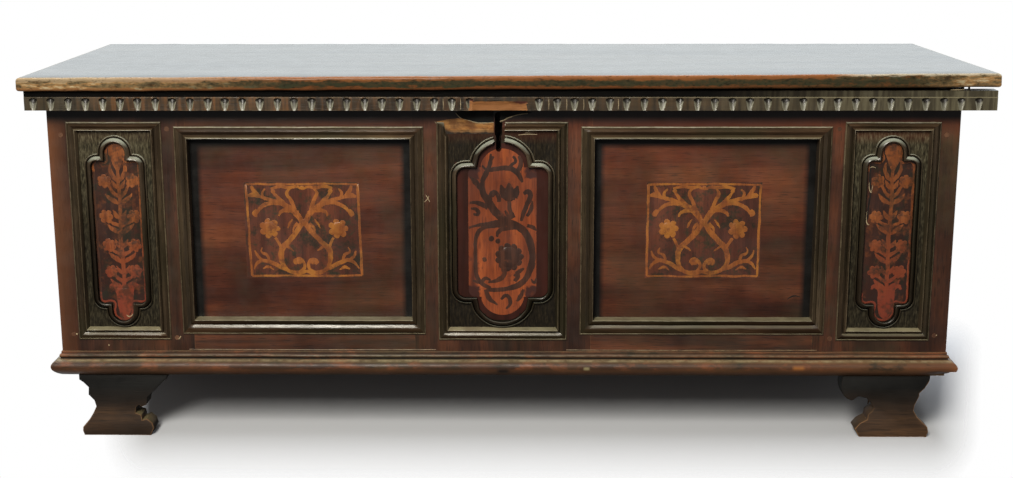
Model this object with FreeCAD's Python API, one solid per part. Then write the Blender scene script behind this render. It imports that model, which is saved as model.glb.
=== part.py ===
"""A walnut cassone: a low framed chest on bracket feet, with a hinged lid and an iron box lock.

Millimetres. The origin is on the floor below the middle of the lid; +X runs to the right along the
front, -Y points out of the front and +Z is up. Carcass pieces are drawn about the carcass's own
middle and moved sideways when they are saved, because the old lid sits a little to one side.
"""

import FreeCAD, Part
import math
import os

V = FreeCAD.Vector
Z_AXIS = V(0, 0, 1)
Y_AXIS = V(0, 1, 0)
X_AXIS = V(1, 0, 0)

os.makedirs("parts", exist_ok=True)

# Carcass
carcass_width = 1614.0
carcass_depth = 535.0
carcass_height = 527.0  # from the underside of the floor boards to the top of the frames
floor_thickness = 18.0
back_thickness = 22.0

# Front frame
frame_thickness = 36.0
end_stile_width = 244.0
centre_stile_width = 320.0
top_rail_height = 88.0
bottom_rail_height = 79.0
tenon_length = 50.0
tenon_thickness = 12.0
tenon_setback = 12.0  # from the face of a frame to its tenons
tenon_shoulder = 10.0
joint_clearance = 0.2  # all round a tenon or a panel in its groove

# Sunk panels
panel_recess = 15.0
panel_thickness = 14.0
panel_tongue = 8.0

# Side frames
side_thickness = 28.0
side_stile_width = 70.0
side_top_rail_height = 88.0
side_bottom_rail_height = 90.0
side_panel_recess = 9.0
side_panel_thickness = 12.0
side_tenon_length = 30.0
side_tenon_thickness = 9.0
side_tenon_setback = 9.0
side_chamfer = 7.0

# Wooden pegs
peg_radius = 4.0
peg_proud = 0.6
peg_from_opening = 32.0
top_peg_inset = 6.0  # from the lower edge of the top tenon
bottom_peg_inset = 17.0  # from the upper edge of the bottom tenon
corner_peg_from_side = 23.0
corner_peg_length = 62.0
corner_peg_top_drop = 83.0
corner_peg_bottom_rise = 58.0

# Planted mouldings of the front
panel_moulding_width = 20.0
pilaster_moulding_width = 17.5
moulding_edge = 2.5  # height of the outer edge
moulding_fillet = 2.5  # width of the flat beside the outer edge
moulding_crest = 9.0
moulding_crest_width = 2.5
moulding_slope = 5.0  # width of the slope inside the crest
moulding_foot = 1.5  # height of the inner edge
pilaster_width = 169.0
pilaster_from_side = 33.0
centre_pilaster_width = 233.0
pilaster_top_drop = 59.6
pilaster_bottom_rise = 48.6

# Lobed cartouches and their inlays
cartouche_height = 353.0
cartouche_ring = 12.0  # width of the raised ring
cartouche_edge_height = 4.0
cartouche_height_crest = 9.0
cartouche_edge_width = 3.0
end_cartouche_width = 110.0
end_arch_width = 62.0
end_arch_rise = 31.0
end_arch_step = 2.0
end_ear_radius = 13.0
centre_cartouche_width = 187.0
centre_arch_width = 108.0
centre_arch_rise = 33.0
centre_arch_step = 12.0
centre_ear_radius = 15.0
centre_inlay_width = 122.0
centre_inlay_height = 306.0
centre_inlay_arch_width = 76.0
centre_inlay_arch_rise = 28.0
centre_inlay_step = 6.0
centre_inlay_ear = 12.0
inlay_thickness = 2.0
inlay_square_width = 207.0
inlay_square_height = 176.0

# Keyhole
keyhole_offset = 6.5  # to the left of the middle of the carcass
keyhole_bottom_drop = 113.0  # from the top of the carcass
keyhole_length = 71.0
keyhole_width = 9.5
keyhole_head_width = 13.5
keyhole_head_length = 45.0
keyhole_plate_margin = 1.0

# Base moulding
base_height = 45.0
base_projection = 18.5

# Bracket feet
foot_height = 118.0
foot_forward = 3.0  # the foot stands this far out from the frame above it
foot_from_side = 27.0
foot_width = 124.0
foot_plinth = 16.0
foot_waist = 72.0
foot_waist_height = 55.0
foot_neck_height = 75.0
foot_shoulder_height = 86.0
foot_wing = 60.0
foot_drop_height = 69.0
foot_block_width = 50.0
foot_block_depth = 50.0
foot_block_lift = 5.0
foot_block_from_side = 67.0

# Lid
overhang_front = 48.0
overhang_rear = 24.0
overhang_left = 34.0
overhang_right = 52.0
lid_thickness = 24.0
lid_front_plank_depth = 340.0
lid_arris = 5.0
lid_seat_gap = 0.3  # the lid's underside above the carcass

# Gouged strip under the lid
strip_height = 34.3
strip_thickness = 30.0
strip_front_inset = 9.0
strip_left_inset = 8.5
strip_right_inset = 1.5
cleat_thickness = 24.0
right_cleat_lost = 175.0  # length of the right-hand strip that is gone behind the front one
gouge_pitch = 29.8
gouge_height = 22.0
gouge_top_radius = 6.0
gouge_foot_radius = 3.0
gouge_bare_half = 50.0  # half the worn stretch at the middle, where no gouges are left

# Nails through the strips into the lid
nail_radius = 2.2
nail_head_radius = 4.5
nail_head_height = 1.2
nail_reach = 16.0  # into the lid
nail_end_inset = 58.0
nail_count = 7
cleat_nail_count = 3

# Hinges
hinge_from_middle = 480.0
hinge_pin_radius = 3.5
hinge_pin_clearance = 0.06
hinge_knuckle_radius = 7.0
hinge_plate = 3.0
hinge_gap = 0.3  # knuckle to the wood it turns beside, and between knuckles
hinge_leaf_width = 60.0
hinge_leaf_length = 120.0
hinge_strap_width = 26.0
hinge_strap_length = 360.0
hinge_pin_head = 2.0
notch_clearance = 0.7

# Lock
lock_plate_width = 150.0
lock_plate_height = 122.0
lock_plate_thickness = 2.5
lock_plate_drop = 5.0
lock_case_width = 112.0
lock_case_height = 108.0
lock_case_depth = 26.0
lock_wall = 2.0
bolt_thickness = 8.0
bolt_height = 10.0
bolt_length = 76.0
bolt_top_drop = 24.0  # from the top of the carcass to the top of the bolt
bolt_travel = 14.0
bolt_clearance = 0.3
guide_thickness = 3.0
guide_border = 4.0
guide_inset = 10.0
staple_from_keyhole = 31.0
staple_bar = 6.0
staple_leg = 4.0
staple_eye_depth = 10.0
staple_drop = 42.0
staple_clearance = 2.6
staple_plate_length = 46.0
staple_plate_width = 30.0
staple_plate_thickness = 2.0
bolt_to_staple = 3.0
spring_thickness = 1.2
spring_length = 34.0

# Planes worked out from the sizes above
lid_length = overhang_left + carcass_width + overhang_right
lid_depth = overhang_front + carcass_depth + overhang_rear
carcass_x = (overhang_left - overhang_right) / 2
half_width = carcass_width / 2
face_y = -lid_depth / 2 + overhang_front
frame_back_y = face_y + frame_thickness
back_y = face_y + carcass_depth
back_inner_y = back_y - back_thickness
floor_top = foot_height + floor_thickness
carcass_top = foot_height + carcass_height
lid_under = carcass_top + lid_seat_gap
lid_top = lid_under + lid_thickness
opening_inner = centre_stile_width / 2
opening_outer = half_width - end_stile_width
opening_bottom = floor_top + bottom_rail_height
opening_top = carcass_top - top_rail_height
keyhole_x = -keyhole_offset
hinge_y = back_y + hinge_knuckle_radius + hinge_gap
hinge_z = lid_under - hinge_knuckle_radius - hinge_gap


def box(x0, x1, y0, y1, z0, z1):
    """A board between two opposite corners, given in either order."""
    low = V(min(x0, x1), min(y0, y1), min(z0, z1))
    return Part.makeBox(abs(x1 - x0), abs(y1 - y0), abs(z1 - z0), low)


def rod(x, y0, y1, z, radius):
    """A round bar along Y."""
    return Part.makeCylinder(radius, y1 - y0, V(x, y0, z), Y_AXIS)


def cut_all(solid, *tools):
    """The solid with every tool taken out of it."""
    for tool in tools:
        solid = solid.cut(tool)
    return solid


def prism(points, direction):
    """A straight-sided solid on a closed outline of points."""
    return Part.Face(Part.makePolygon(points + points[:1])).extrude(direction)


def save_lid(node, *solids):
    """Writes one node that is drawn in the lid's frame, which is the part's frame."""
    shape = solids[0] if len(solids) == 1 else Part.makeCompound(list(solids))
    shape.exportStep("parts/" + node + ".step")


def save_carcass(node, *solids):
    """Writes one node that is drawn about the middle of the carcass."""
    moved = []
    for solid in solids:
        copy = solid.copy()
        copy.translate(V(carcass_x, 0, 0))
        moved.append(copy)
    save_lid(node, *moved)


SIDES = {"left": -1, "right": 1}


# Joints of the front frame: tenons on the rails, grooves round the panels, pegs
def tenon(x_shoulder, direction, z0, z1, clearance):
    """A rail's tenon from its shoulder along +X or -X; with a clearance it is the mortise."""
    length = tenon_length + clearance
    y0 = face_y + tenon_setback - clearance
    y1 = face_y + tenon_setback + tenon_thickness + clearance
    low = z0 + tenon_shoulder - clearance
    high = z1 - tenon_shoulder + clearance
    return box(x_shoulder, x_shoulder + direction * length, y0, y1, low, high)


def panel_solid(side, clearance):
    """A front panel with its tongue; with a clearance it is the groove that holds it."""
    reach = panel_tongue + clearance
    x0 = side * (opening_inner - reach)
    x1 = side * (opening_outer + reach)
    y0 = face_y + panel_recess - clearance
    y1 = face_y + panel_recess + panel_thickness + clearance
    return box(x0, x1, y0, y1, opening_bottom - reach, opening_top + reach)


def rail_tenons(side, z0, z1, clearance):
    """Both tenons of the rail on one side of the centre stile."""
    inner = tenon(side * opening_inner, -side, z0, z1, clearance)
    outer = tenon(side * opening_outer, side, z0, z1, clearance)
    return inner, outer


rail_spans = {
    "bottom": (floor_top, opening_bottom),
    "top": (opening_top, carcass_top),
}
peg_heights = (
    opening_top + tenon_shoulder + top_peg_inset,
    opening_bottom - tenon_shoulder - bottom_peg_inset,
)
corner_peg_heights = (
    carcass_top - corner_peg_top_drop,
    floor_top + corner_peg_bottom_rise,
)
pegs = []
for side in SIDES.values():
    for z in peg_heights:
        x = side * (opening_outer + peg_from_opening)
        pegs.append(rod(x, face_y - peg_proud, frame_back_y, z, peg_radius))
    for z in corner_peg_heights:
        x = side * (half_width - corner_peg_from_side)
        start = face_y - peg_proud
        pegs.append(rod(x, start, start + corner_peg_length, z, peg_radius))


# Lobed outline of a cartouche: upright sides, rounded ears, a step and an arch, the same below
def lobed_outline(width, height, arch_width, arch_rise, step, ear, inset, y):
    """The closed wire of a cartouche about x = 0, z = 0, drawn inside itself by an inset."""
    side_x = width / 2 - inset
    arch_half = arch_width / 2
    arch_radius = (arch_half**2 + arch_rise**2) / (2 * arch_rise)
    arch_centre = height / 2 - arch_radius
    ear_x = width / 2 - ear
    ear_z = height / 2 - arch_rise - step - ear
    ear_r = ear - inset
    step_x = arch_half - inset
    spring_z = arch_centre + math.sqrt((arch_radius - inset) ** 2 - step_x**2)
    crown_z = arch_centre + arch_radius - inset
    lean = math.sqrt(0.5) * ear_r

    def point(x, z):
        return V(x, y, z)

    edges = [Part.LineSegment(point(side_x, -ear_z), point(side_x, ear_z)).toShape()]
    quarter = [
        Part.Arc(point(side_x, ear_z), point(ear_x + lean, ear_z + lean), point(ear_x, ear_z + ear_r)),
        Part.LineSegment(point(ear_x, ear_z + ear_r), point(step_x, ear_z + ear_r)),
        Part.LineSegment(point(step_x, ear_z + ear_r), point(step_x, spring_z)),
    ]
    edges += [curve.toShape() for curve in quarter]
    edges.append(Part.Arc(point(step_x, spring_z), point(0, crown_z), point(-step_x, spring_z)).toShape())
    half = Part.Wire(edges)
    turned = half.copy()
    turned.rotate(V(0, y, 0), Y_AXIS, 180)
    upper_left = [curve.toShape().mirror(V(0, 0, 0), X_AXIS) for curve in quarter]
    lower_right = [edge.copy() for edge in upper_left]
    for edge in lower_right:
        edge.rotate(V(0, y, 0), Y_AXIS, 180)
    return Part.Wire(Part.__sortEdges__(half.Edges + upper_left + turned.Edges + lower_right))


def lobed_solid(sizes, inset, y0, y1):
    """A lobed slab between two planes of constant Y."""
    return Part.Face(lobed_outline(*sizes, inset, y0)).extrude(V(0, y1 - y0, 0))


def placed(solid, x, z):
    """The solid moved in the plane of the front."""
    copy = solid.copy()
    copy.translate(V(x, 0, z))
    return copy


end_lobes = (
    end_cartouche_width,
    cartouche_height,
    end_arch_width,
    end_arch_rise,
    end_arch_step,
    end_ear_radius,
)
centre_lobes = (
    centre_cartouche_width,
    cartouche_height,
    centre_arch_width,
    centre_arch_rise,
    centre_arch_step,
    centre_ear_radius,
)
centre_inlay_lobes = (
    centre_inlay_width,
    centre_inlay_height,
    centre_inlay_arch_width,
    centre_inlay_arch_rise,
    centre_inlay_step,
    centre_inlay_ear,
)
pilaster_low = floor_top + pilaster_bottom_rise
pilaster_high = carcass_top - pilaster_top_drop
cartouche_z = (pilaster_low + pilaster_high) / 2
end_pilaster_x = half_width - pilaster_from_side - pilaster_width / 2
pilaster_centres = {"left": -end_pilaster_x, "centre": 0.0, "right": end_pilaster_x}


def cartouche_ring_solid(sizes):
    """The raised ring: a low outer step and a higher inner one."""
    hole = lobed_solid(sizes, cartouche_ring, face_y - 2 * cartouche_height_crest, face_y)
    low = lobed_solid(sizes, 0, face_y - cartouche_edge_height, face_y)
    high = lobed_solid(sizes, cartouche_edge_width, face_y - cartouche_height_crest, face_y)
    return low.fuse(high).cut(hole).removeSplitter()


# Keyhole: a long slot with a wider head
def keyhole_solid(y0, y1, margin):
    """The keyhole as a solid to cut away, drawn in by a margin."""
    bottom = carcass_top - keyhole_bottom_drop + margin
    slot_r = keyhole_width / 2 - margin
    head_r = keyhole_head_width / 2 - margin
    top = carcass_top - keyhole_bottom_drop + keyhole_length - margin
    head_bottom = top - keyhole_head_length
    pieces = [
        rod(keyhole_x, y0, y1, bottom + slot_r, slot_r),
        box(keyhole_x - slot_r, keyhole_x + slot_r, y0, y1, bottom + slot_r, top - head_r),
        rod(keyhole_x, y0, y1, top - head_r, head_r),
        box(keyhole_x - head_r, keyhole_x + head_r, y0, y1, head_bottom + head_r, top - head_r),
        rod(keyhole_x, y0, y1, head_bottom + head_r, head_r),
    ]
    return pieces[0].multiFuse(pieces[1:]).removeSplitter()


front_keyhole = keyhole_solid(face_y - 3 * moulding_crest, frame_back_y + 1, 0)

for name, x in pilaster_centres.items():
    sizes = centre_lobes if name == "centre" else end_lobes
    ring = placed(cartouche_ring_solid(sizes), x, cartouche_z)
    inlay_sizes = centre_inlay_lobes if name == "centre" else end_lobes
    inlay_inset = 0 if name == "centre" else cartouche_ring
    inlay = placed(lobed_solid(inlay_sizes, inlay_inset, face_y, face_y + inlay_thickness), x, cartouche_z)
    stile_half = (centre_stile_width if name == "centre" else end_stile_width) / 2
    stile_x = 0.0 if name == "centre" else SIDES[name] * (half_width - stile_half)
    stile = box(stile_x - stile_half, stile_x + stile_half, face_y, frame_back_y, floor_top, carcass_top)
    stile = stile.cut(inlay)
    for side in SIDES.values():
        if name == "centre" or SIDES[name] == side:
            stile = stile.cut(panel_solid(side, joint_clearance))
            for z0, z1 in rail_spans.values():
                stile = cut_all(stile, *rail_tenons(side, z0, z1, joint_clearance))
    stile = cut_all(stile, *pegs)
    if name == "centre":
        ring = ring.cut(front_keyhole)
        inlay = inlay.cut(front_keyhole)
        stile = stile.cut(front_keyhole)
    save_carcass("front_stile_" + name, stile)
    save_carcass("cartouche_" + name, ring)
    save_carcass("inlay_cartouche_" + name, inlay)

for name, side in SIDES.items():
    for level, (z0, z1) in rail_spans.items():
        rail = box(side * opening_inner, side * opening_outer, face_y, frame_back_y, z0, z1)
        rail = rail.multiFuse(list(rail_tenons(side, z0, z1, 0)))
        rail = cut_all(rail, panel_solid(side, joint_clearance), *pegs)
        save_carcass("front_" + level + "_rail_" + name, rail.removeSplitter())
    middle_x = side * (opening_inner + opening_outer) / 2
    middle_z = (opening_bottom + opening_top) / 2
    field_y = face_y + panel_recess
    square = box(
        middle_x - inlay_square_width / 2,
        middle_x + inlay_square_width / 2,
        field_y,
        field_y + inlay_thickness,
        middle_z - inlay_square_height / 2,
        middle_z + inlay_square_height / 2,
    )
    save_carcass("front_panel_" + name, panel_solid(side, 0).cut(square))
    save_carcass("inlay_square_" + name, square)


# Mitred mouldings planted on the face of the frame
def moulding_face(width):
    """The section of a strip: u runs inwards along Z, its height along -Y, at x = 0."""
    crest_in = width - moulding_slope
    crest_out = crest_in - moulding_crest_width
    hollow = 0.15 * (crest_out - moulding_fillet)
    swell = 0.2 * moulding_slope

    def point(u, height):
        return V(0, -height, u)

    corners = [
        point(0, 0),
        point(0, moulding_edge),
        point(moulding_fillet, moulding_edge),
        point(crest_out, moulding_crest),
        point(crest_in, moulding_crest),
        point(width, moulding_foot),
        point(width, 0),
    ]
    middle_out = (moulding_fillet + crest_out) / 2 + hollow
    middle_out_height = (moulding_edge + moulding_crest) / 2 - hollow
    middle_in = (crest_in + width) / 2 + swell
    middle_in_height = (moulding_crest + moulding_foot) / 2 + swell
    curves = [
        Part.LineSegment(corners[0], corners[1]),
        Part.LineSegment(corners[1], corners[2]),
        Part.Arc(corners[2], point(middle_out, middle_out_height), corners[3]),
        Part.LineSegment(corners[3], corners[4]),
        Part.Arc(corners[4], point(middle_in, middle_in_height), corners[5]),
        Part.LineSegment(corners[5], corners[6]),
        Part.LineSegment(corners[6], corners[0]),
    ]
    return Part.Face(Part.Wire([curve.toShape() for curve in curves]))


def mitred_strip(length, width):
    """One strip from x = 0 to its length, mitred at both ends, its outer edge at z = 0."""
    strip = moulding_face(width).extrude(V(length, 0, 0))
    past = width + 1
    depth = V(0, -2 * moulding_crest, 0)
    start = [V(-1, 1, -1), V(past, 1, past), V(-1, 1, past)]
    end = [V(length + 1, 1, -1), V(length - past, 1, past), V(length + 1, 1, past)]
    return cut_all(strip, prism(start, depth), prism(end, depth))


def moulding_frame(x0, x1, z0, z1, width):
    """Four mitred strips round a rectangle of the front, planted on the frame's face."""
    corners = [V(x0, face_y, z0), V(x1, face_y, z0), V(x1, face_y, z1), V(x0, face_y, z1)]
    lengths = [x1 - x0, z1 - z0, x1 - x0, z1 - z0]
    strips = []
    for quarter, (corner, length) in enumerate(zip(corners, lengths)):
        strip = mitred_strip(length, width)
        strip.rotate(V(0, 0, 0), Y_AXIS, -90 * quarter)
        strip.translate(corner)
        strips.append(strip)
    return strips


for name, side in SIDES.items():
    inner = side * (opening_inner - panel_moulding_width)
    outer = side * (opening_outer + panel_moulding_width)
    strips = moulding_frame(
        min(inner, outer),
        max(inner, outer),
        opening_bottom - panel_moulding_width,
        opening_top + panel_moulding_width,
        panel_moulding_width,
    )
    save_carcass("panel_moulding_" + name, *strips)

for name, x in pilaster_centres.items():
    half = (centre_pilaster_width if name == "centre" else pilaster_width) / 2
    strips = moulding_frame(x - half, x + half, pilaster_low, pilaster_high, pilaster_moulding_width)
    if name == "centre":
        pieces = []
        for strip in strips:
            pieces += strip.cut(front_keyhole).Solids
        strips = pieces
    save_carcass("pilaster_moulding_" + name, *strips)


# Side frames: two stiles, two rails and a sunk panel, with a plain chamfer round the opening
side_opening_front = frame_back_y + side_stile_width
side_opening_rear = back_inner_y - side_stile_width
side_opening_bottom = floor_top + side_bottom_rail_height
side_opening_top = carcass_top - side_top_rail_height


def side_box(side, depth0, depth1, y0, y1, z0, z1):
    """A box in one side frame, its X given as depths in from the outer face."""
    return box(side * (half_width - depth0), side * (half_width - depth1), y0, y1, z0, z1)


def side_panel(side, clearance):
    """The side's panel; with a clearance it is its groove."""
    reach = panel_tongue + clearance
    return side_box(
        side,
        side_panel_recess - clearance,
        side_panel_recess + side_panel_thickness + clearance,
        side_opening_front - reach,
        side_opening_rear + reach,
        side_opening_bottom - reach,
        side_opening_top + reach,
    )


def side_tenon(side, y_shoulder, direction, z0, z1, clearance):
    """A side rail's tenon along +Y or -Y; with a clearance it is the mortise."""
    return side_box(
        side,
        side_tenon_setback - clearance,
        side_tenon_setback + side_tenon_thickness + clearance,
        y_shoulder,
        y_shoulder + direction * (side_tenon_length + clearance),
        z0 + tenon_shoulder - clearance,
        z1 - tenon_shoulder + clearance,
    )


def side_chamfer_solid(side):
    """The sloping edge round the side's opening, as a solid to cut away."""
    rings = []
    for depth, grow in ((-1, side_chamfer + 1), (side_chamfer, 0)):
        x = side * (half_width - depth)
        rings.append(
            [
                V(x, side_opening_front - grow, side_opening_bottom - grow),
                V(x, side_opening_rear + grow, side_opening_bottom - grow),
                V(x, side_opening_rear + grow, side_opening_top + grow),
                V(x, side_opening_front - grow, side_opening_top + grow),
            ]
        )
    outer, inner = rings
    loops = [outer, inner]
    for index in range(4):
        after = (index + 1) % 4
        loops.append([outer[index], outer[after], inner[after], inner[index]])
    faces = [Part.Face(Part.makePolygon(loop + loop[:1])) for loop in loops]
    return Part.Solid(Part.Shell(faces))


side_spans = {
    "bottom": (floor_top, side_opening_bottom),
    "top": (side_opening_top, carcass_top),
}
for name, side in SIDES.items():
    groove = side_panel(side, joint_clearance)
    chamfer = side_chamfer_solid(side)
    stiles = {
        "front": (frame_back_y, side_opening_front, -1),
        "rear": (side_opening_rear, back_inner_y, 1),
    }
    for place, (y0, y1, direction) in stiles.items():
        stile = side_box(side, 0, side_thickness, y0, y1, floor_top, carcass_top)
        shoulder = side_opening_front if place == "front" else side_opening_rear
        for z0, z1 in side_spans.values():
            stile = stile.cut(side_tenon(side, shoulder, direction, z0, z1, joint_clearance))
        stile = cut_all(stile, groove, chamfer, *pegs)
        save_carcass("side_stile_" + place + "_" + name, stile)
    for level, (z0, z1) in side_spans.items():
        rail = side_box(side, 0, side_thickness, side_opening_front, side_opening_rear, z0, z1)
        ends = [
            side_tenon(side, side_opening_front, -1, z0, z1, 0),
            side_tenon(side, side_opening_rear, 1, z0, z1, 0),
        ]
        rail = cut_all(rail.multiFuse(ends), groove, chamfer)
        save_carcass("side_" + level + "_rail_" + name, rail.removeSplitter())
    save_carcass("side_panel_" + name, side_panel(side, 0))
save_carcass("frame_pegs", *pegs)

# Back and floor: boards nailed on, two of each, butted along their edges
strap_notches = []
for side in SIDES.values():
    x = side * hinge_from_middle
    half = hinge_strap_width / 2 + 1
    notch_z = lid_under - hinge_plate - notch_clearance
    strap_notches.append(box(x - half, x + half, back_inner_y - 1, back_y + 1, notch_z, carcass_top + 1))
back_joint_z = (floor_top + carcass_top) / 2
back_lower = box(-half_width, half_width, back_inner_y, back_y, floor_top, back_joint_z)
back_upper = box(-half_width, half_width, back_inner_y, back_y, back_joint_z, carcass_top)
save_carcass("back_board_lower", back_lower)
save_carcass("back_board_upper", cut_all(back_upper, *strap_notches))
floor_joint_y = (face_y + back_y) / 2
for name, y0, y1 in (("front", face_y, floor_joint_y), ("rear", floor_joint_y, back_y)):
    save_carcass("floor_board_" + name, box(-half_width, half_width, y0, y1, foot_height, floor_top))


# Base moulding: bead, quirk, slope and a round nose, mitred at the front corners
def base_face(to_point):
    """The section of the base moulding; to_point places a projection and a height."""
    low = foot_height
    nose = base_projection
    bead = 0.28 * base_projection
    corners = [
        (0, low + base_height),
        (bead, low + base_height - 3),
        (bead, low + base_height - 8),
        (bead * 0.75, low + base_height - 9.5),
        (bead * 1.4, low + base_height - 11),
        (nose - 2, low + base_height - 18),
        (nose, low + base_height - 21),
        (nose - 1.5, low + base_height - 28),
        (bead, low + 2),
        (0, low),
    ]
    points = [to_point(*corner) for corner in corners]
    edges = []
    for first, second in zip(points[:7], points[1:7]):
        edges.append(Part.LineSegment(first, second).toShape())
    edges.append(Part.Arc(points[6], points[7], points[8]).toShape())
    edges.append(Part.LineSegment(points[8], points[9]).toShape())
    edges.append(Part.LineSegment(points[9], points[0]).toShape())
    return Part.Face(Part.Wire(edges))


reach = base_projection + 1
front_section = base_face(lambda out, z: V(-half_width - base_projection, face_y - out, z))
base_front = front_section.extrude(V(carcass_width + 2 * base_projection, 0, 0))
up = V(0, 0, base_height + 2)
for side in SIDES.values():
    waste = [
        V(side * (half_width - 1), face_y + 1, foot_height - 1),
        V(side * (half_width + reach), face_y - reach, foot_height - 1),
        V(side * (half_width + reach), face_y + 1, foot_height - 1),
    ]
    base_front = base_front.cut(prism(waste, up))
save_carcass("base_moulding_front", base_front)
for name, side in SIDES.items():
    side_section = base_face(lambda out, z: V(side * (half_width + out), face_y - base_projection, z))
    strip = side_section.extrude(V(0, carcass_depth + base_projection, 0))
    waste = [
        V(side * (half_width - 1), face_y + 1, foot_height - 1),
        V(side * (half_width + reach), face_y - reach, foot_height - 1),
        V(side * (half_width - 1), face_y - reach, foot_height - 1),
    ]
    save_carcass("base_moulding_" + name, strip.cut(prism(waste, up)))


# Bracket feet: flat sawn boards with a waist, a plinth and an inner wing
def foot_board(y0, y1):
    """The right-hand foot; x falls from its outer corner towards the middle of the chest."""
    corner = half_width - foot_from_side
    waist_in = (foot_width - foot_waist) / 2
    inner = foot_width
    wing = foot_width + foot_wing

    outer_neck = waist_in * 0.65
    drop_in = wing - foot_wing * 0.42

    def point(inwards, z):
        return V(corner - inwards, y0, z)

    curves = [
        Part.LineSegment(point(0, 0), point(0, foot_plinth)),
        Part.LineSegment(point(0, foot_plinth), point(waist_in * 0.6, 2 * foot_plinth)),
        Part.Arc(
            point(waist_in * 0.6, 2 * foot_plinth),
            point(waist_in, foot_waist_height),
            point(outer_neck, foot_neck_height),
        ),
        Part.LineSegment(point(outer_neck, foot_neck_height), point(outer_neck, foot_shoulder_height)),
        Part.Arc(
            point(outer_neck, foot_shoulder_height),
            point(waist_in * 0.2, (foot_shoulder_height + foot_height) / 2 - 3),
            point(0, foot_height),
        ),
        Part.LineSegment(point(0, foot_height), point(wing, foot_height)),
        Part.Arc(
            point(wing, foot_height),
            point(wing - foot_wing * 0.26, (foot_shoulder_height + foot_height) / 2 + 7),
            point(drop_in, foot_shoulder_height + 8),
        ),
        Part.LineSegment(
            point(drop_in, foot_shoulder_height + 8),
            point(drop_in, foot_shoulder_height - 5),
        ),
        Part.Arc(
            point(drop_in, foot_shoulder_height - 5),
            point(inner + foot_wing * 0.38, foot_drop_height),
            point(inner + foot_wing * 0.15, foot_neck_height),
        ),
        Part.Arc(
            point(inner + foot_wing * 0.15, foot_neck_height),
            point(inner, foot_neck_height + 4),
            point(inner - waist_in * 0.35, foot_neck_height + 1),
        ),
        Part.Arc(
            point(inner - waist_in * 0.35, foot_neck_height + 1),
            point(inner - waist_in, foot_waist_height),
            point(inner - waist_in * 0.6, foot_waist_height - 14),
        ),
        Part.LineSegment(
            point(inner - waist_in * 0.6, foot_waist_height - 14),
            point(inner - waist_in * 0.6, 2 * foot_plinth),
        ),
        Part.LineSegment(
            point(inner - waist_in * 0.6, 2 * foot_plinth),
            point(inner - waist_in * 0.25, 2 * foot_plinth - 1),
        ),
        Part.LineSegment(
            point(inner - waist_in * 0.25, 2 * foot_plinth - 1),
            point(inner + waist_in * 0.3, foot_plinth),
        ),
        Part.LineSegment(point(inner + waist_in * 0.3, foot_plinth), point(inner, 0)),
        Part.LineSegment(point(inner, 0), point(0, 0)),
    ]
    outline = Part.Wire([curve.toShape() for curve in curves])
    return Part.Face(outline).extrude(V(0, y1 - y0, 0))


foot_thickness = frame_thickness + foot_forward
foot_spans = {
    "front": (face_y - foot_forward, frame_back_y),
    "rear": (back_y - foot_thickness, back_y),
}
blocks = []
for place, (y0, y1) in foot_spans.items():
    board = foot_board(y0, y1)
    save_carcass("foot_" + place + "_right", board)
    save_carcass("foot_" + place + "_left", board.mirror(V(0, 0, 0), X_AXIS))
    block_y0 = y1 if place == "front" else y0 - foot_block_depth
    for side in SIDES.values():
        x1 = side * (half_width - foot_block_from_side)
        x0 = x1 - side * foot_block_width
        blocks.append(box(x0, x1, block_y0, block_y0 + foot_block_depth, foot_block_lift, foot_height))
save_carcass("foot_blocks", *blocks)

# Lid: two planks glued edge to edge, with the top arris rounded on the three free sides
lid_front_y = -lid_depth / 2
lid_rear_y = lid_depth / 2
lid_joint_y = lid_front_y + lid_front_plank_depth
strip_left_x = -lid_length / 2 + strip_left_inset
strip_right_x = lid_length / 2 - strip_right_inset
strip_front_y = lid_front_y + strip_front_inset
strip_back_y = strip_front_y + strip_thickness
strip_low = lid_under - strip_height


def nail(x, y):
    """A nail driven upwards through a strip into the lid, its head below the strip."""
    shank = Part.makeCylinder(nail_radius, strip_height + nail_reach, V(x, y, strip_low), Z_AXIS)
    head_low = V(x, y, strip_low - nail_head_height)
    head = Part.makeCylinder(nail_head_radius, nail_head_height, head_low, Z_AXIS)
    return shank.fuse(head).removeSplitter()


nails = []
first_x = strip_left_x + nail_end_inset
step_x = (strip_right_x - strip_left_x - 2 * nail_end_inset) / (nail_count - 1)
for index in range(nail_count):
    nails.append(nail(first_x + index * step_x, (strip_front_y + strip_back_y) / 2))
cleat_spans = {
    "left": (strip_left_x, strip_left_x + cleat_thickness, strip_back_y),
    "right": (strip_right_x - cleat_thickness, strip_right_x, strip_back_y + right_cleat_lost),
}
for x0, x1, y0 in cleat_spans.values():
    cleat_step = (lid_rear_y - y0 - 2 * nail_end_inset) / (cleat_nail_count - 1)
    for index in range(cleat_nail_count):
        nails.append(nail((x0 + x1) / 2, y0 + nail_end_inset + index * cleat_step))
save_lid("lid_nails", *nails)


def rounded_plank(y0, y1, free_y):
    """A lid plank with its top arris rounded at both ends and along its free edge."""
    plank = box(-lid_length / 2, lid_length / 2, y0, y1, lid_under, lid_top)
    edges = []
    for edge in plank.Edges:
        middle = edge.CenterOfMass
        at_top = abs(middle.z - lid_top) < 0.01
        at_end = abs(abs(middle.x) - lid_length / 2) < 0.01
        along_free = abs(middle.y - free_y) < 0.01 and abs(middle.x) < 0.01
        if at_top and (at_end or along_free):
            edges.append(edge)
    return plank.makeFillet(lid_arris, edges)


save_lid("lid_plank_front", cut_all(rounded_plank(lid_front_y, lid_joint_y, lid_front_y), *nails))
save_lid("lid_plank_rear", cut_all(rounded_plank(lid_joint_y, lid_rear_y, lid_rear_y), *nails))

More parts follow.
